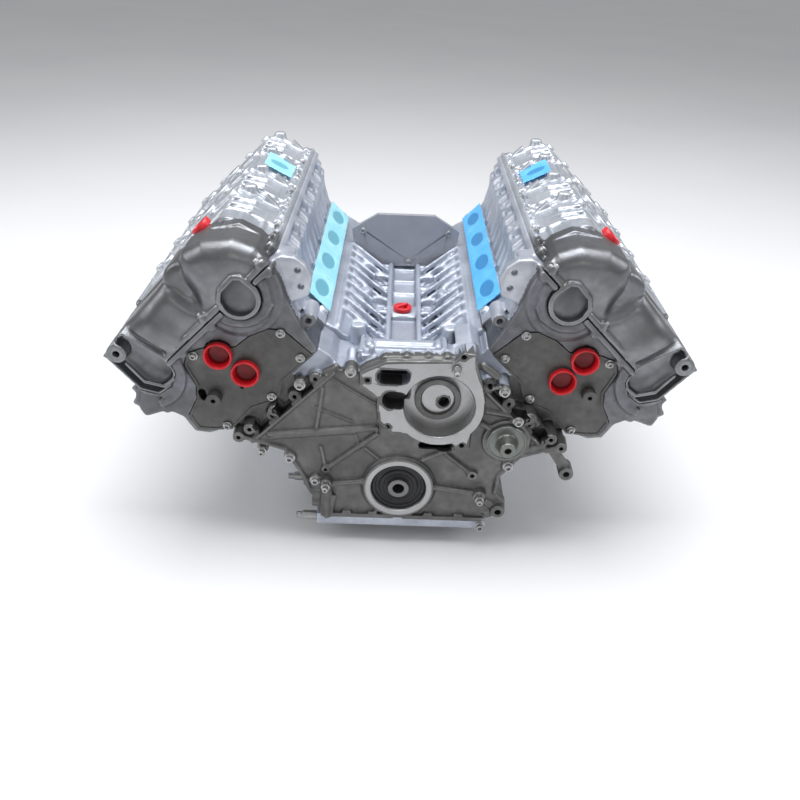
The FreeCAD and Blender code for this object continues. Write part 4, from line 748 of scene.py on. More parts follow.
def build_head(s):
    nm = SIDE[s]
    Y0 = 35.6 + DY[s]; YF = Y0 - 8; YB = Y0 + 60; YE = 518 + DY[s]
    o = node_copy("cylinder_head_" + nm, "head_" + nm)
    parts = []
    clear = bank(s, prism(loc(s, inset(PLATE, -1.2)), Y0 - 30, Y0 + 6.2))
    # collars round the cup and the outer pocket, in two steps each
    col = []
    c0, c1 = CUP
    below = 333.4

    def clipped(ring_pts, y0, y1):
        return prism(loc(s, ring_pts), y0, y1)

    col.append(sector(s * c0, c1, 28.0, 38.5, 176, 364, YF - 1.5, Y0 + 6))
    col.append(sector(s * c0, c1, 38.0, 52.5, 180, 360, YF + 4.5, Y0 + 6))
    # outer pocket collar
    ox, oz = 118.0, 338.0
    a0, a1 = (184, 300)
    if s < 0:
        a0, a1 = 180 - 300, 180 - 184
    col.append(sector(s * ox, oz, 38.0, 49.0, a0, a1, YF + 1.0, Y0 + 6))
    col.append(sector(s * ox, oz, 48.5, 62.0, a0, a1, YF + 6.0, Y0 + 6))
    # bead between the steps and rail flange
    bd = [(-10, 322), (-14, 312), (-26, 300), (-40, 293), (-56, 291), (-72, 296)]
    for p, q in zip(bd[:-1], bd[1:]):
        col.append(bar((s * p[0], YF - 0.2, p[1]), (s * q[0], YF - 0.2, q[1]), 2.0))
    for v0, v1 in ((-106, -76), (-20, 84)):
        col.append(prism(loc(s, [(v0, 326.6), (v1, 326.6), (v1, 333.4), (v0, 333.4)]), YF - 6.5, Y0 + 6))
    for v in (-97, 4, 58):
        col.append(cyl((s * v, YF - 1.0, 322), (0, 0, 1), 5.6, 11.4))
    ob = mesh_obj("collar", join([bank(s, c) for c in col]))
    cast(ob, 1.4, 2)
    boolean(ob, clear, "DIFFERENCE")
    # the D pocket stays open behind the collar
    boolean(ob, bank(s, prism(loc(s, [(-140, 333.5), (150, 333.5), (150, 380), (-140, 380)]), YF - 20, Y0 + 20)), "DIFFERENCE")
    bm = bmesh.new(); bm.from_mesh(o.data); bm.from_mesh(ob.data); bm.to_mesh(o.data); bm.free()
    bpy.data.objects.remove(ob)
    # ears and bosses at the valley side, bracket at the outer side
    ear = [(-98, 330), (-106, 333), (-118, 329), (-128, 316), (-130, 300), (-124, 284), (-106, 271), (-84, 280), (-88, 296)]
    parts.append(prism(loc(s, ear), Y0 + 7, Y0 + 20))
    parts.append(prism(loc(s, [(-97, 331), (-106, 333), (-118, 329), (-127, 316), (-119, 312), (-108, 322), (-97, 322)]), Y0 + 18, Y0 + 46))
    parts.append(lathe((s * -82, Y0 + 4, 249), (0, 1, 0), [(0, 8.2), (1.2, 9.2), (44, 10.5)], 28))
    parts.append(prism(loc(s, [(-84, 243), (-68, 238), (-70, 262), (-84, 256)]), Y0 + 10, Y0 + 44))
    parts.append(prism(loc(s, [(-82, 262), (-74, 262), (-84, 290), (-92, 290)]), Y0 + 14, Y0 + 50))
    # bracket with two short tubes
    parts.append(prism(loc(s, [(138, 330), (150, 334), (166, 322), (171, 306), (160, 300), (140, 306)]), Y0 + 4, Y0 + 16))
    parts.append(cyl((s * 152, Y0 + 10, 322), (0, 0, 1), 5.5, 15, 20))
    parts.append(cyl((s * 165, Y0 + 10, 310), (0.35 * s, 0, 1), 4.8, 14, 20))
    parts.append(bar((s * 128, Y0 + 3, 227), (s * 139, Y0 + 3, 241), 3.2))
    # lower edge bead and outer wall ribs
    parts.append(bar((s * 102, Y0 + 2, 216.5), (s * 127, Y0 + 2, 227), 3.0))
    parts.append(bar((s * 139, Y0 + 2, 241), (s * 133, Y0 + 2, 265), 3.0))
    parts.append(bar((s * 133, Y0 + 2, 265), (s * 140, Y0 + 2, 287), 3.0))
    parts.append(bar((s * 140, Y0 + 2, 287), (s * 168, Y0 + 2, 300), 3.0))
    for y in (Y0 + 26, Y0 + 44):
        parts.append(prism(loc(s, [(100, 217), (128, 229), (139, 242), (135, 264), (141, 286), (118, 300), (98, 280)]), y - 2.2, y + 2.2))
    for i in range(4):
        y = cyl_y(s, i)
        # outer flange with studs, and ribs down the outer wall
        parts.append(prism(loc(s, [(96, 226), (113.5, 226), (113.5, 276), (96, 276)]), y - 39, y + 39))
        for dy in (-34, 34):
            parts.append(cyl((s * 100, y + dy, 251), (s, 0, 0), 8.0, 15.5, 24))
        for dy in (-48.5,):
            parts.append(prism(loc(s, [(98, 216), (106, 222), (110, 290), (113, 326), (104, 330), (98, 300)]), y + dy - 2.5, y + dy + 2.5))
        parts.append(prism(loc(s, [(100, 284), (110, 288), (112, 300), (100, 306)]), y - 30, y + 30))
        # valley wall: ribs and pads beside the ports
        for dy in (-47, -20, 20):
            parts.append(prism(loc(s, [(-71, 256), (-76.5, 260), (-92, 288), (-108, 304), (-108, 332), (-98, 332), (-86, 292), (-70, 262)]), y + dy - 2.2, y + dy + 2.2))
        parts.append(cyl((s * -90, y - 34, 300), (s * -0.7, 0, 0.7), 7.5, 14, 22))
        parts.append(prism(loc(s, [(-99, 306), (-114, 316), (-115, 333), (-99, 333)]), y + 8, y + 30))
        for dy in (-46, 46):
            parts.append(cyl((s * -68, y + dy, 224), (-s, 0, 0), 7.0, 8.0, 20))
    # rear end: cover plates over the cam bores
    for sd in (-1, 1):
        parts.append(lathe((s * sd * 43, YE - 4, 318 - 4), (0, 1, 0), [(0, 19), (6, 19), (7, 18)], 36))
    for p, q in (((-60, 226), (-82, 300)), ((-20, 222), (-40, 292)), ((30, 222), (44, 292)), ((84, 226), (70, 300)), ((-66, 224), (90, 224)), ((-84, 328), (88, 328))):
        parts.append(bar((s * p[0], YE - 0.6, p[1]), (s * q[0], YE - 0.6, q[1]), 2.6))
    for v, u in ((-50, 240), (6, 262), (70, 240), (96, 318), (-90, 322)):
        parts.append(lathe((s * v, YE - 6, u), (0, 1, 0), [(0, 9), (8.5, 8), (9.5, 7)], 24))
    merge(o, [bank(s, p) for p in parts])
    cast(o, 2.0, 3)
    tools = [bank(s, lathe((s * v, Y0 - 4, u), (0, 1, 0), [(0, 4.4), (d_, 4.4), (d_ + 1.2, 3.3), (52, 3.3)], 24)) for v, u, d_ in ((-119, 303, 11.6), (-107, 286, 11.6), (-82, 249, 8.4))]
    tools += [bank(s, cyl((s * 120, cyl_y(s, i) + dy, 251), (-s, 0, 0), 3.4, 18, 20)) for i in range(4) for dy in (-34, 34)]
    tools += [bank(s, prism(loc(s, inset(PLATE, -0.9)), Y0 - 30, Y0 + 5.8)), bank(s, cyly(s * CUP[0], CUP[1], 28.0, Y0 - 30, YF + 9.4, 64))]
    boolean(o, join(tools), "DIFFERENCE")
    thin(o)
    smooth_by(o, 42)
    # painted light and shade: faces behind the front and the valley-side ear take the lighter rear copy of the head
    # finish, the front faces the darker copy
    split_by_y(o, [M["head"], M["headrear"]], Y0 + 62, (s, Y0 + 6.4))
    return finish_piece(o, [M["head"], M["headrear"]], "engine", ["cylinder_head_" + nm])


CASE = None


def bp(s, v, u):
    return (s * (u + v) / R2, (u - v) / R2)


def build_case():
    o = node_copy("timing_case", "timing_case_cast")

    def along_x(pts, x0, x1):
        V, F = prism(pts, x0, x1)
        return np.stack([V[:, 1], V[:, 0], V[:, 2]], 1), F

    boolean(o, along_x([(25, 216), (25, 189), (62, 187), (66, 180), (93.5, 162), (96, 216)], -51, 51), "DIFFERENCE")
    boolean(o, along_x([(30, 216), (30, 191), (94, 176), (94, 216)], 50.9, 66), "DIFFERENCE")
    parts = [along_x([(22, 190), (62, 188), (66, 181), (92, 163), (92, 156), (64, 172), (60, 180), (22, 182)], -53, 53)]
    for sx in (-1, 1):
        parts.append(slab((sx * 51, 26, 186), (0, 66, -8), (sx * 5, 0, 0), (0, 0, 8)))
        parts.append(bar((sx * 44, 46, 191), (sx * 44, 62, 190), 5.0))
        parts.append(bar((sx * 50, 62, 186), (sx * 34, 90, 165), 3.0))
        parts.append(lathe((sx * 46, 70, 176), (0, 0, 1), [(0, 8.5), (9, 7.5), (10.5, 6.4)], 24))
    parts.append(bar((-34, 44, 190.5), (36, 44, 190.5), 3.2))
    parts.append(bar((-34, 60, 189), (36, 60, 189), 2.4))
    parts.append(bar((-40, 28, 190), (-40, 28, 198), 4.5))
    # long double rib and the other stiffening ribs, drafted
    def drib(p, q, w, y0, y1):
        parts.append(rib(p, q, w + 2.6, y0 + 3.2, y1))
        parts.append(bar((p[0], y0 + w / 2, p[1]), (q[0], y0 + w / 2, q[1]), w / 2))
    drib((-172, 77), (-31, 93.5), 3.0, 2.2, 10)
    drib((-172, 71), (-60, 84), 2.4, 4.2, 10)
    drib((-30, 84), (-97, 26), 3.6, 2.4, 10)
    drib((-44, 9), (-97, 1), 4.2, 0.0, 10)
    drib((44, 3), (108, -6), 4.4, -0.6, 10)
    drib((80, 72), (30, 45), 3.2, 2.2, 10)
    drib((50, 66), (98, 25), 3.2, 2.6, 10)
    drib((-98, 25), (-105, 60), 2.4, 4.6, 10)
    drib((-112, 78), (-101, 150), 2.4, 4.8, 10)
    drib((102, 106), (116, 98), 4.0, 1.6, 10)
    drib((150, 62), (190, 76), 3.0, 3.4, 10)
    drib((-62, 100), (-110, 120), 2.4, 5.4, 10)
    drib((-32, 128), (-96, 168), 2.4, 5.4, 10)
    drib((-60, 84), (-52, 58), 2.0, 5.6, 10)
    drib((96, 150), (124, 160), 3.0, 3.6, 10)
    drib((104, 124), (150, 116), 3.0, 3.0, 10)
    drib((-28, 44), (-46, 60), 2.6, 4.4, 10)
    # boss ring round the seal
    parts.append(sector(0, 0, 36.9, 47.5, 0, 359.9, -0.4, 14, 72))
    parts.append(sector(0, 0, 45.0, 50.0, 0, 359.9, 4.0, 14, 72))
    # outline rim of the case
    rim = [(-124, -10), (-129, 8), (-154, 54), (-189, 64), (-208, 70)]
    for p, q in zip(rim[:-1], rim[1:]):
        parts.append(bar((p[0] + 3, 7.2, p[1] + 1.0), (q[0] + 3, 7.2, q[1] + 1.0), 3.2))
        parts.append(bar((p[0] - 1, 20, p[1] - 1.5), (q[0] - 1, 20, q[1] - 1.5), 4.0))
    rim = [(205, 70), (188, 64), (160, 54), (135, 21), (133, -6)]
    for p, q in zip(rim[:-1], rim[1:]):
        parts.append(bar((p[0] - 2, 7.2, p[1] + 1.0), (q[0] - 2, 7.2, q[1] + 1.0), 3.2))
    # sloped edges under the banks
    for s in (-1, 1):
        a = bp(s, -60, 182); b = bp(s, 92, 182)
        parts.append(bar((a[0], 8.0, a[1]), (b[0], 8.0, b[1]), 3.0))
        for v in (-34, 4, 46, 84):
            c = bp(s, v, 190)
            parts.append(lathe((c[0], 12, c[1]), (0, 1, 0), [(0, 7.0), (1.0, 8.2), (16, 9.0)], 24))
            c2 = bp(s, v, 176)
            parts.append(rib(c, c2, 7.0, 14, 26))
    # bosses with collars
    for x, z, r, y in [(-112, 8, 8, 3), (-145, 43, 8, 3), (144, 41, 8, 3), (-196, 84, 8, 4), (-211, 71, 8, 4), (196, 84, 8, 4), (211, 71, 8, 4), (-65, 176, 8, 2), (150, 112, 8, 2), (-163, 112, 8, 6), (163, 112, 8, 6)]:
        parts.append(lathe((x, y, z), (0, 1, 0), [(0, r - 0.8), (0.8, r), (22, r + 1.6)], 28))
    parts.append(lathe((137, -2, -33), (0, 1, 0), [(0, 8.4), (1, 9.6), (30, 12.5)], 28))
    parts.append(rib((137, -33), (118, -20), 9, 4, 30))
    parts.append(rib((137, -33), (120, -44), 8, 6, 30))
    # studs' tubular seats
    parts.append(lathe((109, -5.5, -6), (0, 1, 0), [(0, 8.4), (16, 9.6)], 28))
    parts.append(lathe((-97, -5.5, 7), (0, 1, 0), [(0, 7.4), (16, 8.8)], 28))
    parts.append(prism([(-106, -52), (-88, -52), (-90, 0), (-104, 2)], 0.5, 12))
    parts.append(bar((-97, 2, -50), (-97, 2, -4), 5.4))
    parts.append(bar((-92, 3, -52), (-86, 3, -18), 2.4))
    parts.append(cyl((-118, 12, -34), (1, 0, 0), 7.2, 26, 24))
    parts.append(cyl((-122, 12, -12), (1, 0, 0), 5.6, 26, 24))
    # bottom flange with tabs
    parts.append(prism([(-96, -54), (118, -54), (118, -47.5), (-96, -47.5)], 1.8, 12))
    for x in (-70, -34, 42, 84):
        parts.append(prism([(x - 7, -54), (x + 7, -54), (x + 5.5, -43), (x - 5.5, -43)], 2.8, 12))
    # top edge under the valley: ledges and tubes
    for x, z, y in ((-22, 192, 6), (4, 194.5, 6), (31, 195, 6), (54, 196, 5)):
        parts.append(lathe((x, y, z), (0, 1, 0), [(0, 4.4), (1, 5.4), (20, 6.2)], 20))
    for x, z in ((-65, 176), (66, 186)):
        parts.append(bar((x, 12, z - 2), (x, 40, z + 8), 7.0))
    parts.append(bar((-78, 14, 150), (-62, 14, 172), 4.0))
    parts.append(bar((-84, 14, 176), (-97, 14, 168), 5.0))
    parts.append(bar((100, 12, 186), (118, 12, 172), 5.5))
    parts.append(bar((112, 12, 142), (132, 12, 128), 4.5))
    parts.append(bar((126, 12, 128), (150, 10, 112), 4.0))
    parts.append(bar((118, 12, 60), (152, 12, 44), 4.0))
    parts.append(sector(48, 130, 45.4, 57.0, 0, 359.9, -0.6, 14, 72))
    parts.append(along_x([(28, 193), (92, 177), (92, 168), (28, 184)], 50, 68))
    # idler seat
    parts.append(sector(138, 80, 26.9, 31.5, 0, 359.9, 3.0, 16, 48))
    parts.append(rib((138, 80), (118, 50), 8, 7, 12))
    parts.append(rib((138, 80), (160, 56), 8, 7, 12))
    parts.append(rib((138, 80), (176, 88), 8, 7, 12))
    # pipe arm
    parts.append(bar((222, 24, 32), (170, 24, 108), 7.0))
    merge(o, parts)
    cast(o, 1.4, 4)
    # machined areas and holes, crisp after casting
    FL = [(-44, 182), (-20, 194), (30, 196), (62, 196), (74, 209), (90, 207), (92, 190), (100, 165), (105, 140), (100, 112), (90, 92), (90, 66), (72, 66), (66, 80), (36, 82), (12, 90), (-12, 88), (-30, 106), (-32, 140), (-54, 158), (-54, 176)]
    o.data.materials.clear(); o.data.materials.append(M["case"])
    for p_ in o.data.polygons:
        p_.material_index = 0
    boolean(o, box(-60, 112, -30, 0.0, 62, 215), "DIFFERENCE", mat=M["face"])
    boolean(o, lathe((0, -8, 0), (0, 1, 0), [(0, 44.5), (8.0, 44.5), (8.02, 44.4)], 96), "DIFFERENCE", mat=M["face"])
    c = mesh_obj("bore", lathe((48, -6, 130), (0, 1, 0), [(0, 46.4), (6.0, 46.4), (7.4, 45.0), (28, 45.0)], 96))
    keep = mesh_obj("keep", lathe((46, 12.0, 133), (0, 1, 0), [(0, 29.2), (0.8, 30.0), (40, 30.0)], 72))
    boolean(c, keep, "DIFFERENCE")
    boolean(o, c, "DIFFERENCE", mat=M["face"])
    boolean(o, join([lathe((46, 4, 133), (0, 1, 0), [(0, 21.2), (8, 21.2), (9, 20.4), (14.0, 20.4)], 64),
                     lathe((0, -8, 0), (0, 1, 0), [(0, 38.2), (7.8, 38.2), (9.4, 36.9), (30, 36.9)], 96),
                     lathe((138, -12, 80), (0, 1, 0), [(0, 26.8), (16.0, 26.8)], 64)]), "DIFFERENCE", mat=M["face"])
    slots = [prism([(-6, -60), (7, -60), (6, -49), (-5, -49)], -5, 5.5)]
    for x, z, half, r, ang, d in ((-11, 171.5, 10.5, 10.5, 0, 34), (-8, 138, 4, 13, 0, 26), (46, 66, 17, 5, 0, 34)):
        a = (x - half, z); b_ = (x + half, z)
        pts = arc(b_[0], b_[1], r, -90, 90, 20) + arc(a[0], a[1], r, 90, 270, 20)
        slots.append(prism(pts, -6, d))
    for s in (-1, 1):
        for v0, v1 in ((-27, -4), (12, 38), (55, 76)):
            a = [bp(s, v0, 183.5), bp(s, v1, 183.5), bp(s, v1 - 2, 199), bp(s, v0 + 3, 199)]
            slots.append(prism(a, -5, 22))
    holes = [(-44, 166, 3.2), (74, 203, 3.2), (80, 73, 3.2), (-17, 98, 2.2), (137, -33, 4.5), (98, 24, 3), (-98, 25, 2.5), (-196, 84, 3), (-211, 71, 3), (196, 84, 3), (211, 71, 3), (-163, 112, 3), (163, 112, 3), (225, 25, 4)]
    for s in (-1, 1):
        for v in (-34, 4, 46, 84):
            q = bp(s, v, 190)
            holes.append((q[0], q[1], 2.8))
    boolean(o, join(slots + [lathe((x, -12, z), (0, 1, 0), [(0, r), (36, r)], 24) for x, z, r in holes]), "DIFFERENCE")
    thin(o, 195000)
    smooth_by(o, 40)
    me = o.data
    me.materials.append(M["block"])
    lit_ledge_slot = len(me.materials) - 1
    n = len(me.polygons)
    c = np.empty(n * 3, np.float32); me.polygons.foreach_get("center", c); c = c.reshape(-1, 3) * 1000
    mi = np.empty(n, np.int32); me.polygons.foreach_get("material_index", mi)
    # painted light: the upward ledge and flange tops under the valley take the lighter block finish instead of the
    # darker case finish
    mi[(c[:, 1] > 17) & (c[:, 2] > 158)] = lit_ledge_slot
    me.polygons.foreach_set("material_index", mi)
    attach(o, "engine"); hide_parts("timing_case")
    return o


def build_block():
    o = node_copy("cylinder_block", "block_cast")
    parts = []
    for sx in (-1, 1):
        # double ribs up both slopes of the valley and pads at their feet
        for k in range(9):
            y = 132 + 31 * k
            parts.append(bar((sx * 26, y + 3, 156), (sx * 84, y + 29, 192), 2.4))
            parts.append(bar((sx * 30, y + 12, 155), (sx * 84, y + 38, 190.5), 1.7))
        parts.append(bar((sx * 22, 124, 158), (sx * 22, 406, 158), 4.0))
        parts.append(bar((sx * 88, 100, 190), (sx * 88, 410, 190), 4.0))
        for k in range(5):
            y = 200 + 45 * k
            parts.append(box(min(sx * 27, sx * 50), max(sx * 27, sx * 50), y + 14, y + 20, 148, 162))
        for y in (150, 260, 370):
            parts.append(lathe((sx * 60, y, 160), (0, 0, 1), [(0, 11), (14, 9.4), (16.4, 8.6)], 28))
        parts.append(lathe((sx * 61, 62 + 32, 172), (0, 0, 1), [(0, 12), (24, 10), (26, 9)], 28))
        # side walls: long rails, core plugs, mount bosses
        parts.append(bar((sx * 150, 96, 50), (sx * 150, 524, 50), 5.0))
        parts.append(bar((sx * 125, 96, -14), (sx * 125, 524, -14), 4.0))
        for k in range(4):
            y = 163 + 98 * k
            d = Vector((sx * 47, 0, -30)).normalized()
            parts.append(lathe((sx * 139, y, 29), (d.x, 0, d.z), [(0, 17), (2.5, 17), (3.4, 15.6)], 36))
        for y in (270.0, 330.0):
            for z in (-29.0, -6.0):
                parts.append(lathe((sx * 138, y, z), (sx, 0, 0), [(0, 11.5), (7.6, 9.6)], 24))
        for y in (110, 155, 200, 300, 400, 455, 500):
            parts.append(cyl((sx * 130, y, -52), (0, 0, 1), 9.0, 14, 24))
        for z in (-25.0, 85.0):
            parts.append(lathe((sx * 120, 506, z), (0, 1, 0), [(0, 13), (24, 12)], 28))
        parts.append(lathe((sx * 168, 506, 80), (0, 1, 0), [(0, 11), (24, 10)], 28))
        parts.append(lathe((sx * 80, 506, 176), (0, 1, 0), [(0, 12), (24, 11)], 28))
    # rear face: bell housing rim, radial ribs, bosses
    yr = max(v.co.y for v in o.data.vertices) * 1000.0
    for x0, z0, x1, z1 in ((62, 30, 128, 96), (66, 0, 132, 6), (58, 46, 74, 150), (60, -30, 118, -50)):
        for sx in (-1, 1):
            parts.append(bar((sx * x0, yr - 0.4, z0), (sx * x1, yr - 0.4, z1), 2.6))
    parts.append(bar((0, yr - 0.4, 66), (0, yr - 0.4, 128), 2.6))
    rim = [(126, -50), (140, 4), (134, 70), (104, 128), (62, 150)]
    for p_, q_ in zip(rim[:-1], rim[1:]):
        for sx in (-1, 1):
            parts.append(bar((sx * p_[0], yr - 0.6, p_[1]), (sx * q_[0], yr - 0.6, q_[1]), 3.2))
    for x, z in ((100, 60), (84, 104), (96, -22)):
        for sx in (-1, 1):
            parts.append(lathe((sx * x, yr - 8, z), (0, 1, 0), [(0, 9), (10.5, 8), (11.5, 7)], 24))
    # cross bars over the valley floor and the front ledge
    for y in (118, 300, 348, 396):
        parts.append(bar((-20, y, 153), (20, y, 153), 2.2))
    parts.append(prism([(-60, 158), (60, 158), (54, 172), (-54, 172)], 93, 108))
    parts.append(prism([(-72, 178), (-50, 158), (-44, 164), (-66, 188)], 93, 122))
    parts.append(prism([(72, 178), (50, 158), (44, 164), (66, 188)], 93, 122))
    merge(o, parts)
    cast(o, 2.3, 2)
    tools = []
    for sx in (-1, 1):
        for k in range(5):
            y = 180 + 45 * k
            tools.append(prism([(sx * 29, y), (sx * 47, y), (sx * 47, y + 16), (sx * 29, y + 16)], 0, 1))
    cut = []
    for V, F in tools:
        W = V.copy(); W[:, 1] = V[:, 2]; W[:, 2] = np.where(V[:, 1] > 0.5, 175.0, 144.0)
        cut.append((W, F))
    boolean(o, join(cut + [cyl((-2, 225, 142), (0, 0, 1), 11.0, 30)]), "DIFFERENCE")
    thin(o, 195000)
    smooth_by(o, 44)
    return finish_piece(o, M["block"], "engine", ["cylinder_block"])


def build_lower():
    o = node_copy("lower_crankcase", "lower_crankcase_cast")
    parts = []
    for sx in (-1, 1):
        parts.append(bar((sx * 136, 100, -61), (sx * 136, 524, -61), 3.2))
        for y in (110, 155, 200, 250, 300, 350, 400, 455, 500):
            parts.append(cyl((sx * 130, y, -71), (0, 0, 1), 8.6, 19, 24))
    merge(o, parts)
    cast(o, 1.8, 3)
    thin(o, 150000)
    smooth_by(o, 44)
    finish_piece(o, M["block"], "engine", ["lower_crankcase"])
    o = node_copy("oil_pan", "oil_pan_cast")
    parts = []
    for k in range(7):
        y = 90 + 62 * k
        parts.append(box(-104, 104, y - 2, y + 2, -94.8, -88))
        for sx in (-1, 1):
            parts.append(box(min(sx * 100, sx * 113), max(sx * 100, sx * 113), y - 2.2, y + 2.2, -93, -72))
    merge(o, parts)
    cast(o, 2.4, 3)
    smooth_by(o, 44)
    finish_piece(o, M["pan"], "engine", ["oil_pan"])


# ------------------------------------------------------------------ red caps, tape, bolts, seal, hub
def build_small():
    cups = []
    for s in (1, -1):
        Y0 = 35.6 + DY[s]
        for v, u in PORTS[s]:
            prof = [(0, 14.6), (7.5, 14.6), (8.4, 17.6), (9.2, 18.0), (15.0, 18.1), (16.6, 17.8), (17.2, 17.0), (17.0, 15.9), (15.8, 15.2), (8.0, 13.7), (4.2, 12.9), (3.0, 11.4)]
            cups.append(bank(s, lathe((s * v, Y0 + 7.2, u), (0, -1, 0), prof, 72)))
    o = mesh_obj("port_cups", join(cups))
    smooth_by(o, 50)
    # painted shade: the inner wall and floor of each cup take the darker red
    per = 11 * 72 + 2
    idx = [1 if (i % per) >= 9 * 72 and (i % per) != 11 * 72 else 0 for i in range(len(o.data.polygons))]
    o.data.materials.append(M["red"]); o.data.materials.append(M["reddeep"])
    o.data.polygons.foreach_set("material_index", idx)
    finish_piece(o, [M["red"], M["reddeep"]], "engine", ["actuator_port_plugs"])
    caps = []
    for s in (1, -1):
        YB = 95.6 + DY[s]
        prof = [(0, 9.7), (6, 9.7), (6.4, 13.4), (7.4, 14.0), (14.2, 14.0), (15.0, 13.2), (15.0, 11.2), (14.2, 10.6), (10.2, 10.2), (9.8, 9.0)]
        caps.append(bank(s, lathe((s * -45, YB + 22, 399), (0, 0, 1), prof, 56)))
    caps.append(lathe((-2, 225, 150), (0, 0, 1), [(0, 10.7), (9.9, 10.7), (10.1, 13.0), (10.9, 13.5), (15.2, 13.4), (16.0, 12.6), (15.9, 8.0), (15.0, 6.6), (12.2, 5.9), (11.8, 4.6)], 56))
    # tear tab of the valley plug
    caps.append(join([bar((-12, 222, 165), (4, 231, 167), 2.2)]))
    o = mesh_obj("port_caps", join(caps))
    smooth_by(o, 50)
    finish_piece(o, M["red"], "engine", ["oil_port_caps"])
    # bolts of the plates and covers
    pb, cb, kb = [], [], []
    for s in (1, -1):
        Y0 = 35.6 + DY[s]; YB = Y0 + 60; YE = 518 + DY[s]; YF = Y0 - 8
        for v, u in [(103, 218), (56, 315), (-47, 262), (28, 208), (-40, 222)]:
            pb.append(hexbolt(bank_pt(s, v, Y0 - 1.2, u), (0, -1, 0), 4.3, 4.9, 1.7))
        pts = [(-109.4, Y0 + 32 + k * (YE - Y0 - 45) / 6.0) for k in range(7)] + [(111.6, YB + 16 + k * (YE - YB - 30) / 5.0) for k in range(6)]
        for v, y in pts:
            cb.append(hexhead(bank_pt(s, v, y, 341.0), bank_dir(s, (0, 0, 1)), 4.1, 5.2, 1.5))
        for v in (-97, 4, 58):
            cb.append(hexhead(bank_pt(s, v, YF + 2.0, 344.6), bank_dir(s, (0, 0, 1)), 3.4, 4.6, 1.2))
    o = mesh_obj("plate_bolt_heads", join(pb)); smooth_by(o, 35)
    finish_piece(o, M["bolt"], "engine", ["plate_bolts"])
    o = mesh_obj("cover_bolt_heads", join(cb)); smooth_by(o, 35)
    finish_piece(o, M["bolt"], "engine", ["cover_bolts"])
    for x, z, y in [(-112, 8, 3), (-145, 43, 3), (144, 41, 3), (-129, 153, 6), (129, 153, 6), (150, 112, 2), (-65, 176, 2), (115, -63, 4)]:
        kb.append(hexbolt((x, y, z), (0, -1, 0), 5.2, 6.2, 2.0, 3.0))
    for x, z, y in [(109, -6, -6), (-97, 7, -6), (66, 186, -2), (-181, 53, 8)]:
        kb.append(lathe((x, y + 8, z), (0, -1, 0), [(0, 4.0), (8, 4.0), (8.0, 6.0), (8.4, 6.4), (13.6, 6.4), (14.4, 5.8), (15, 4.2), (20.6, 4.2), (21.8, 3.2), (21.8, 1.8), (19.5, 1.6)], 30, [3, 4]))
    for (x, y, z, L) in ((-112, 17, -63, 20), (-140, 104, -61, 14)):
        kb.append(lathe((x, y, z), (-1, 0, 0), [(0, 5.4), (1, 6.4), (L - 1, 6.4), (L, 5.6), (L + 0.2, 4.5), (L + 8, 4.5), (L + 9, 3.6), (L + 8.6, 2.0), (L + 4, 1.9)], 30))
    for x, z in ((-70, 214), (70, 214), (6, 162)):
        kb.append(hexbolt((x, 412, z), (0, -1, 0), 4.6, 5.0, 1.8))
    o = mesh_obj("case_bolt_heads", join(kb)); smooth_by(o, 35)
    finish_piece(o, M["bolt"], "engine", ["case_bolts_and_studs"])
    # front crank seal: lips and folds
    prof_out = [(14, 36.3), (6.2, 36.3), (5.0, 35.2), (4.4, 33.4), (5.6, 31.4), (7.0, 30.6), (7.2, 26.8), (5.4, 25.8), (4.6, 24.0), (4.6, 22.0), (6.4, 20.4), (7.0, 17.6), (6.0, 16.0), (4.8, 15.2), (4.8, 14.15), (7.6, 14.15), (7.7, 24.2), (14, 24.2)]
    n = 96
    V, F = [], []
    for t, r in prof_out:
        for i in range(n):
            a = 2 * math.pi * i / n
            V.append((r * math.cos(a), t, r * math.sin(a)))
    m = len(prof_out)
    for k in range(m):
        k2 = (k + 1) % m
        for i in range(n):
            j = (i + 1) % n
            F.append((k * n + i, k * n + j, k2 * n + j, k2 * n + i))
    o = mesh_obj("front_seal", (np.array(V, float), F))
    smooth_by(o, 50)
    finish_piece(o, M["rubber"], "engine", ["front_crank_seal"])
    # idler hub: turned disc and tapered spigot
    prof = [(0, 5.0), (10, 5.0), (10.0, 25.2), (10.8, 26.0), (15.2, 26.0), (16.0, 25.4), (16.0, 23.6), (15.2, 22.8), (15.0, 15.8), (16.2, 14.2), (18.0, 13.4), (31.0, 11.4), (33.0, 11.0), (34.0, 10.0), (34.0, 4.9), (33.2, 4.2), (22.0, 4.0), (21.8, 2.0)]
    o = mesh_obj("idler_hub_turned", lathe((138, 14, 80), (0, -1, 0), prof, 72))
    smooth_by(o, 35)
    finish_piece(o, M["hub"], "engine", ["idler_hub"])
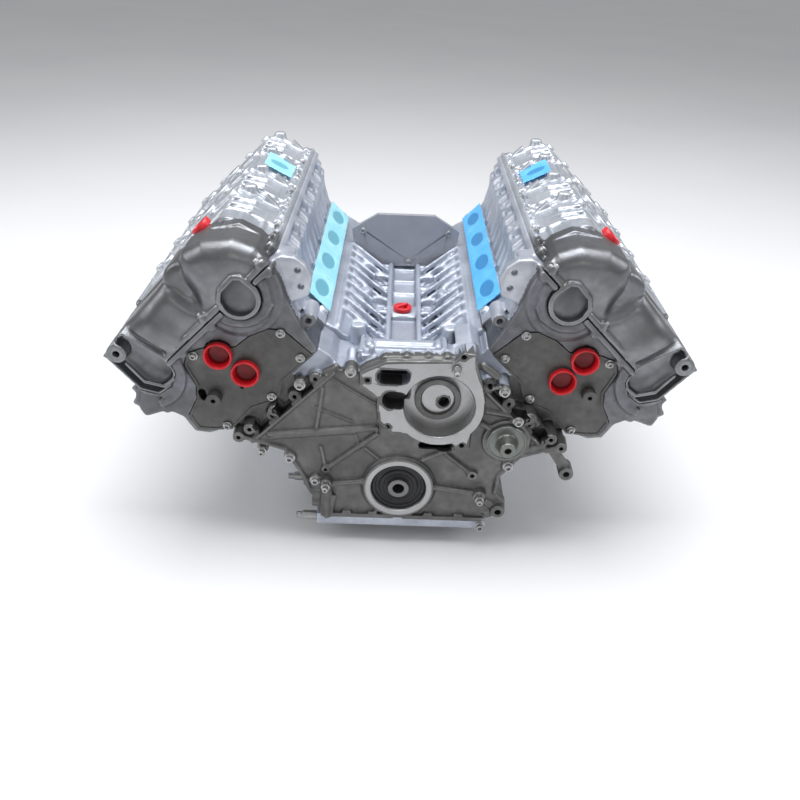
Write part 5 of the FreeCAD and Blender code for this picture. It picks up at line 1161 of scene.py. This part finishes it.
    # tape strips and patches
    tv, tf, deep, warm = [], [], [], []
    rng = np.random.RandomState(7)
    for s in (1, -1):
        def sheet(y0, y1, u0, u1, vfun, ovals, wm, extra=0.0):
            ny, nu = int((y1 - y0) / 1.6), int((u1 - u0) / 1.0)
            ys = np.linspace(y0, y1, ny + 1); us = np.linspace(u0, u1, nu + 1)
            Yg, Ug = np.meshgrid(ys, us, indexing="ij")
            ph = rng.rand(6) * 6.28
            wob = 0.22 * np.sin(Yg * 0.09 + ph[0]) + 0.16 * np.sin(Ug * 0.31 + Yg * 0.05 + ph[1]) + 0.10 * np.sin(Yg * 0.33 + ph[2])
            dp = np.zeros(Yg.shape)
            for (cy, cu, ay, au, tilt) in ovals:
                yy = (Yg - cy); uu = (Ug - cu)
                c_, s_ = math.cos(tilt), math.sin(tilt)
                a_ = (yy * c_ + uu * s_) / ay; b_ = (-yy * s_ + uu * c_) / au
                dp = np.maximum(dp, 1 - smooth01(np.hypot(a_, b_), 0.88, 1.08))
            edge = 1 - smooth01(np.minimum(np.minimum(Yg - y0, y1 - Yg), np.minimum(Ug - u0, u1 - Ug)), 0, 4)
            lift = wob * (1 - dp) - 1.5 * dp - 0.15 * edge
            ragged = 0.5 * np.sin(Ug * 0.9 + ph[3]) + 0.4 * np.sin(Ug * 2.1 + ph[4])
            Yr = Yg + np.where(Yg == ys[0], ragged, 0) + np.where(Yg == ys[-1], ragged[::-1], 0)
            base = vfun(Ug)
            for side, off in ((0, extra + 1.25), (1, extra + 0.7)):
                V_ = base - (off + np.clip(lift, -1.1, 0.5))
                pts = np.stack([s * V_, Yr, Ug], -1).reshape(-1, 3)
                tv.append(bank(s, (pts, []))[0])
                deep.append(dp.reshape(-1)); warm.append(np.full(dp.size, wm))
            o0 = sum(len(k) for k in tv[:-2])
            n1 = (ny + 1) * (nu + 1)
            I = lambda i, j, l: o0 + l * n1 + i * (nu + 1) + j
            for i in range(ny):
                for j in range(nu):
                    tf.append((I(i, j, 0), I(i + 1, j, 0), I(i + 1, j + 1, 0), I(i, j + 1, 0)))
                    tf.append((I(i, j + 1, 1), I(i + 1, j + 1, 1), I(i + 1, j, 1), I(i, j, 1)))
            for i in range(ny):
                tf.append((I(i + 1, 0, 0), I(i, 0, 0), I(i, 0, 1), I(i + 1, 0, 1)))
                tf.append((I(i, nu, 0), I(i + 1, nu, 0), I(i + 1, nu, 1), I(i, nu, 1)))
            for j in range(nu):
                tf.append((I(0, j, 0), I(0, j + 1, 0), I(0, j + 1, 1), I(0, j, 1)))
                tf.append((I(ny, j + 1, 0), I(ny, j, 0), I(ny, j, 1), I(ny, j + 1, 1)))
        wm = 1.0 if s > 0 else 0.0
        sheet(cyl_y(s, 0) - 44, cyl_y(s, 3) + 44, 216, 256, lambda u: -75.4 + 0 * u,
              [(cyl_y(s, i) + 2, 236, 27, 12.0, -0.12) for i in range(4)], wm)
        yc = cyl_y(s, 2)
        sheet(yc - 30, yc + 36, 350, 392, lambda u: -105.6 + (u - 343) * 0.326, [(yc + 3, 372, 11.5, 14.0, 0.12)], wm, 1.6)
    V = np.concatenate(tv)
    o = mesh_obj("blue_tape", (V, tf))
    # per-point masks: the first paints shade where the tape is pressed into the ports; the second picks one of two blue
    # tones per side
    for nm, val in (("deep", np.concatenate(deep)), ("warm", np.concatenate(warm))):
        a = o.data.attributes.new(nm, "FLOAT", "POINT")
        a.data.foreach_set("value", val.astype(np.float32))
    o.data.shade_smooth()
    finish_piece(o, M["tape"], "engine", ["masking_tapes"])


import time
T0 = time.time()
for s in (1, -1):
    build_cover(s); print("TIME cover", time.time() - T0, flush=True)
    build_head(s); print("TIME head", time.time() - T0, flush=True)
build_case(); print("TIME case", time.time() - T0, flush=True)
build_block(); print("TIME block", time.time() - T0, flush=True)
build_lower(); print("TIME lower", time.time() - T0, flush=True)
build_small(); print("TIME small", time.time() - T0, flush=True)

# ------------------------------------------------------------------ CAD nodes that stay
for n, m, w in (("front_plate_left", "plate", 0.5), ("front_plate_right", "plate", 0.5), ("valley_rear_plate", "vplate", 0.6), ("rear_seal_carrier", "pan", 0.6),
                ("oil_pump", "pan", 0.4), ("crankshaft", "darksteel", 0.5), ("crank_sprockets", "darksteel", 0), ("main_bearing_caps", "iron", 0.6), ("main_bearing_shells", "bearing", 0),
                ("valves", "steel", 0), ("valve_springs", "spring", 0), ("tappets", "steel", 0), ("cam_bearing_caps", "pan", 0.4), ("timing_chains", "chain", 0), ("chain_guides", "guide", 0.4),
                ("head_gaskets", "gasket", 0)):
    if n in NODES:
        bevelled(n, M[m], w)
for k in range(1, 9):
    bevelled("piston_%d" % k, M["piston"], 0.3)
    bevelled("conrod_%d" % k, M["darksteel"], 0.4)
for k in range(1, 5):
    bevelled("web_plug_%d" % k, M["steel"], 0.3)
for sd in ("left", "right"):
    for c in ("intake", "exhaust"):
        bevelled("camshaft_%s_%s" % (c, sd), M["steel"], 0.4)
        bevelled("cam_phaser_%s_%s" % (c, sd), M["darksteel"], 0.4)

# ------------------------------------------------------------------ floor, light, camera
fm, nt, b = nodes_of("floor_paint", (0.80, 0.80, 0.80), 0.75, 0.0)
fl = coords(nt)
nt.links.new(mixc(nt, maprange(nt, noise(nt, fl, 1.5, 2.0), 0.3, 0.7, 0, 1), (0.80, 0.80, 0.805), (0.83, 0.83, 0.83)), b.inputs["Base Color"])
bpy.ops.mesh.primitive_plane_add(size=60, location=(0, 8, -0.095))
floor = bpy.context.object
floor.name = "floor"
floor.data.materials.append(fm)

w = bpy.data.worlds.new("studio")
bpy.context.scene.world = w
w.use_nodes = True
wn = w.node_tree
bg = next(n for n in wn.nodes if n.type == "BACKGROUND")
tc = wn.nodes.new("ShaderNodeTexCoord")
sp = wn.nodes.new("ShaderNodeSeparateXYZ")
wn.links.new(tc.outputs["Generated"], sp.inputs[0])
cr = wn.nodes.new("ShaderNodeValToRGB")
wn.links.new(sp.outputs["Z"], cr.inputs["Fac"])
e = cr.color_ramp.elements
e[0].position = 0.0; e[0].color = (0.62, 0.62, 0.62, 1)
e[1].position = 0.85; e[1].color = (0.95, 0.97, 1.0, 1)
wn.links.new(cr.outputs["Color"], bg.inputs["Color"])
bg.inputs["Strength"].default_value = 0.45


def area(name, loc_, target, sx, sy, power, color=(1, 1, 1)):
    l = bpy.data.lights.new(name, "AREA")
    l.shape = "RECTANGLE"; l.size = sx; l.size_y = sy; l.energy = power; l.color = color
    o = bpy.data.objects.new(name, l)
    bpy.context.collection.objects.link(o)
    o.location = loc_
    o.rotation_euler = (Vector(target) - Vector(loc_)).to_track_quat("-Z", "Y").to_euler()
    return o


area("top", (0.0, 0.35, 2.3), (0, 0.25, 0.1), 2.2, 1.6, 66, (0.96, 0.97, 1.0))
area("left", (-2.2, -0.3, 1.5), (0, 0.2, 0.15), 1.2, 1.4, 16)
area("right", (2.3, 0.1, 1.6), (0, 0.2, 0.15), 1.2, 1.4, 14)
area("front", (0.4, -2.6, 1.3), (0, 0.1, 0.1), 1.8, 0.9, 6, (1.0, 0.985, 0.965))

a, e_, r = math.radians(-0.57), math.radians(31.03), math.radians(2.32)
F = Vector((-math.sin(a) * math.cos(e_), math.cos(a) * math.cos(e_), -math.sin(e_)))
Rr = Vector((math.cos(a), math.sin(a), 0))
U = Rr.cross(F)
X = Rr * math.cos(r) + U * math.sin(r)
Yv = -Rr * math.sin(r) + U * math.cos(r)
cam = bpy.data.cameras.new("cam")
cam.sensor_width = 36; cam.lens = 826.03 / 800 * 36
cam.clip_start = 0.01; cam.clip_end = 100
co_ = bpy.data.objects.new("cam", cam)
bpy.context.collection.objects.link(co_)
mw = Matrix((X, Yv, -F)).transposed().to_4x4()
mw.translation = Vector((-0.01136, -0.89157, 0.67590))
co_.matrix_world = mw
bpy.context.scene.camera = co_
bpy.context.scene.view_settings.view_transform = "Standard"
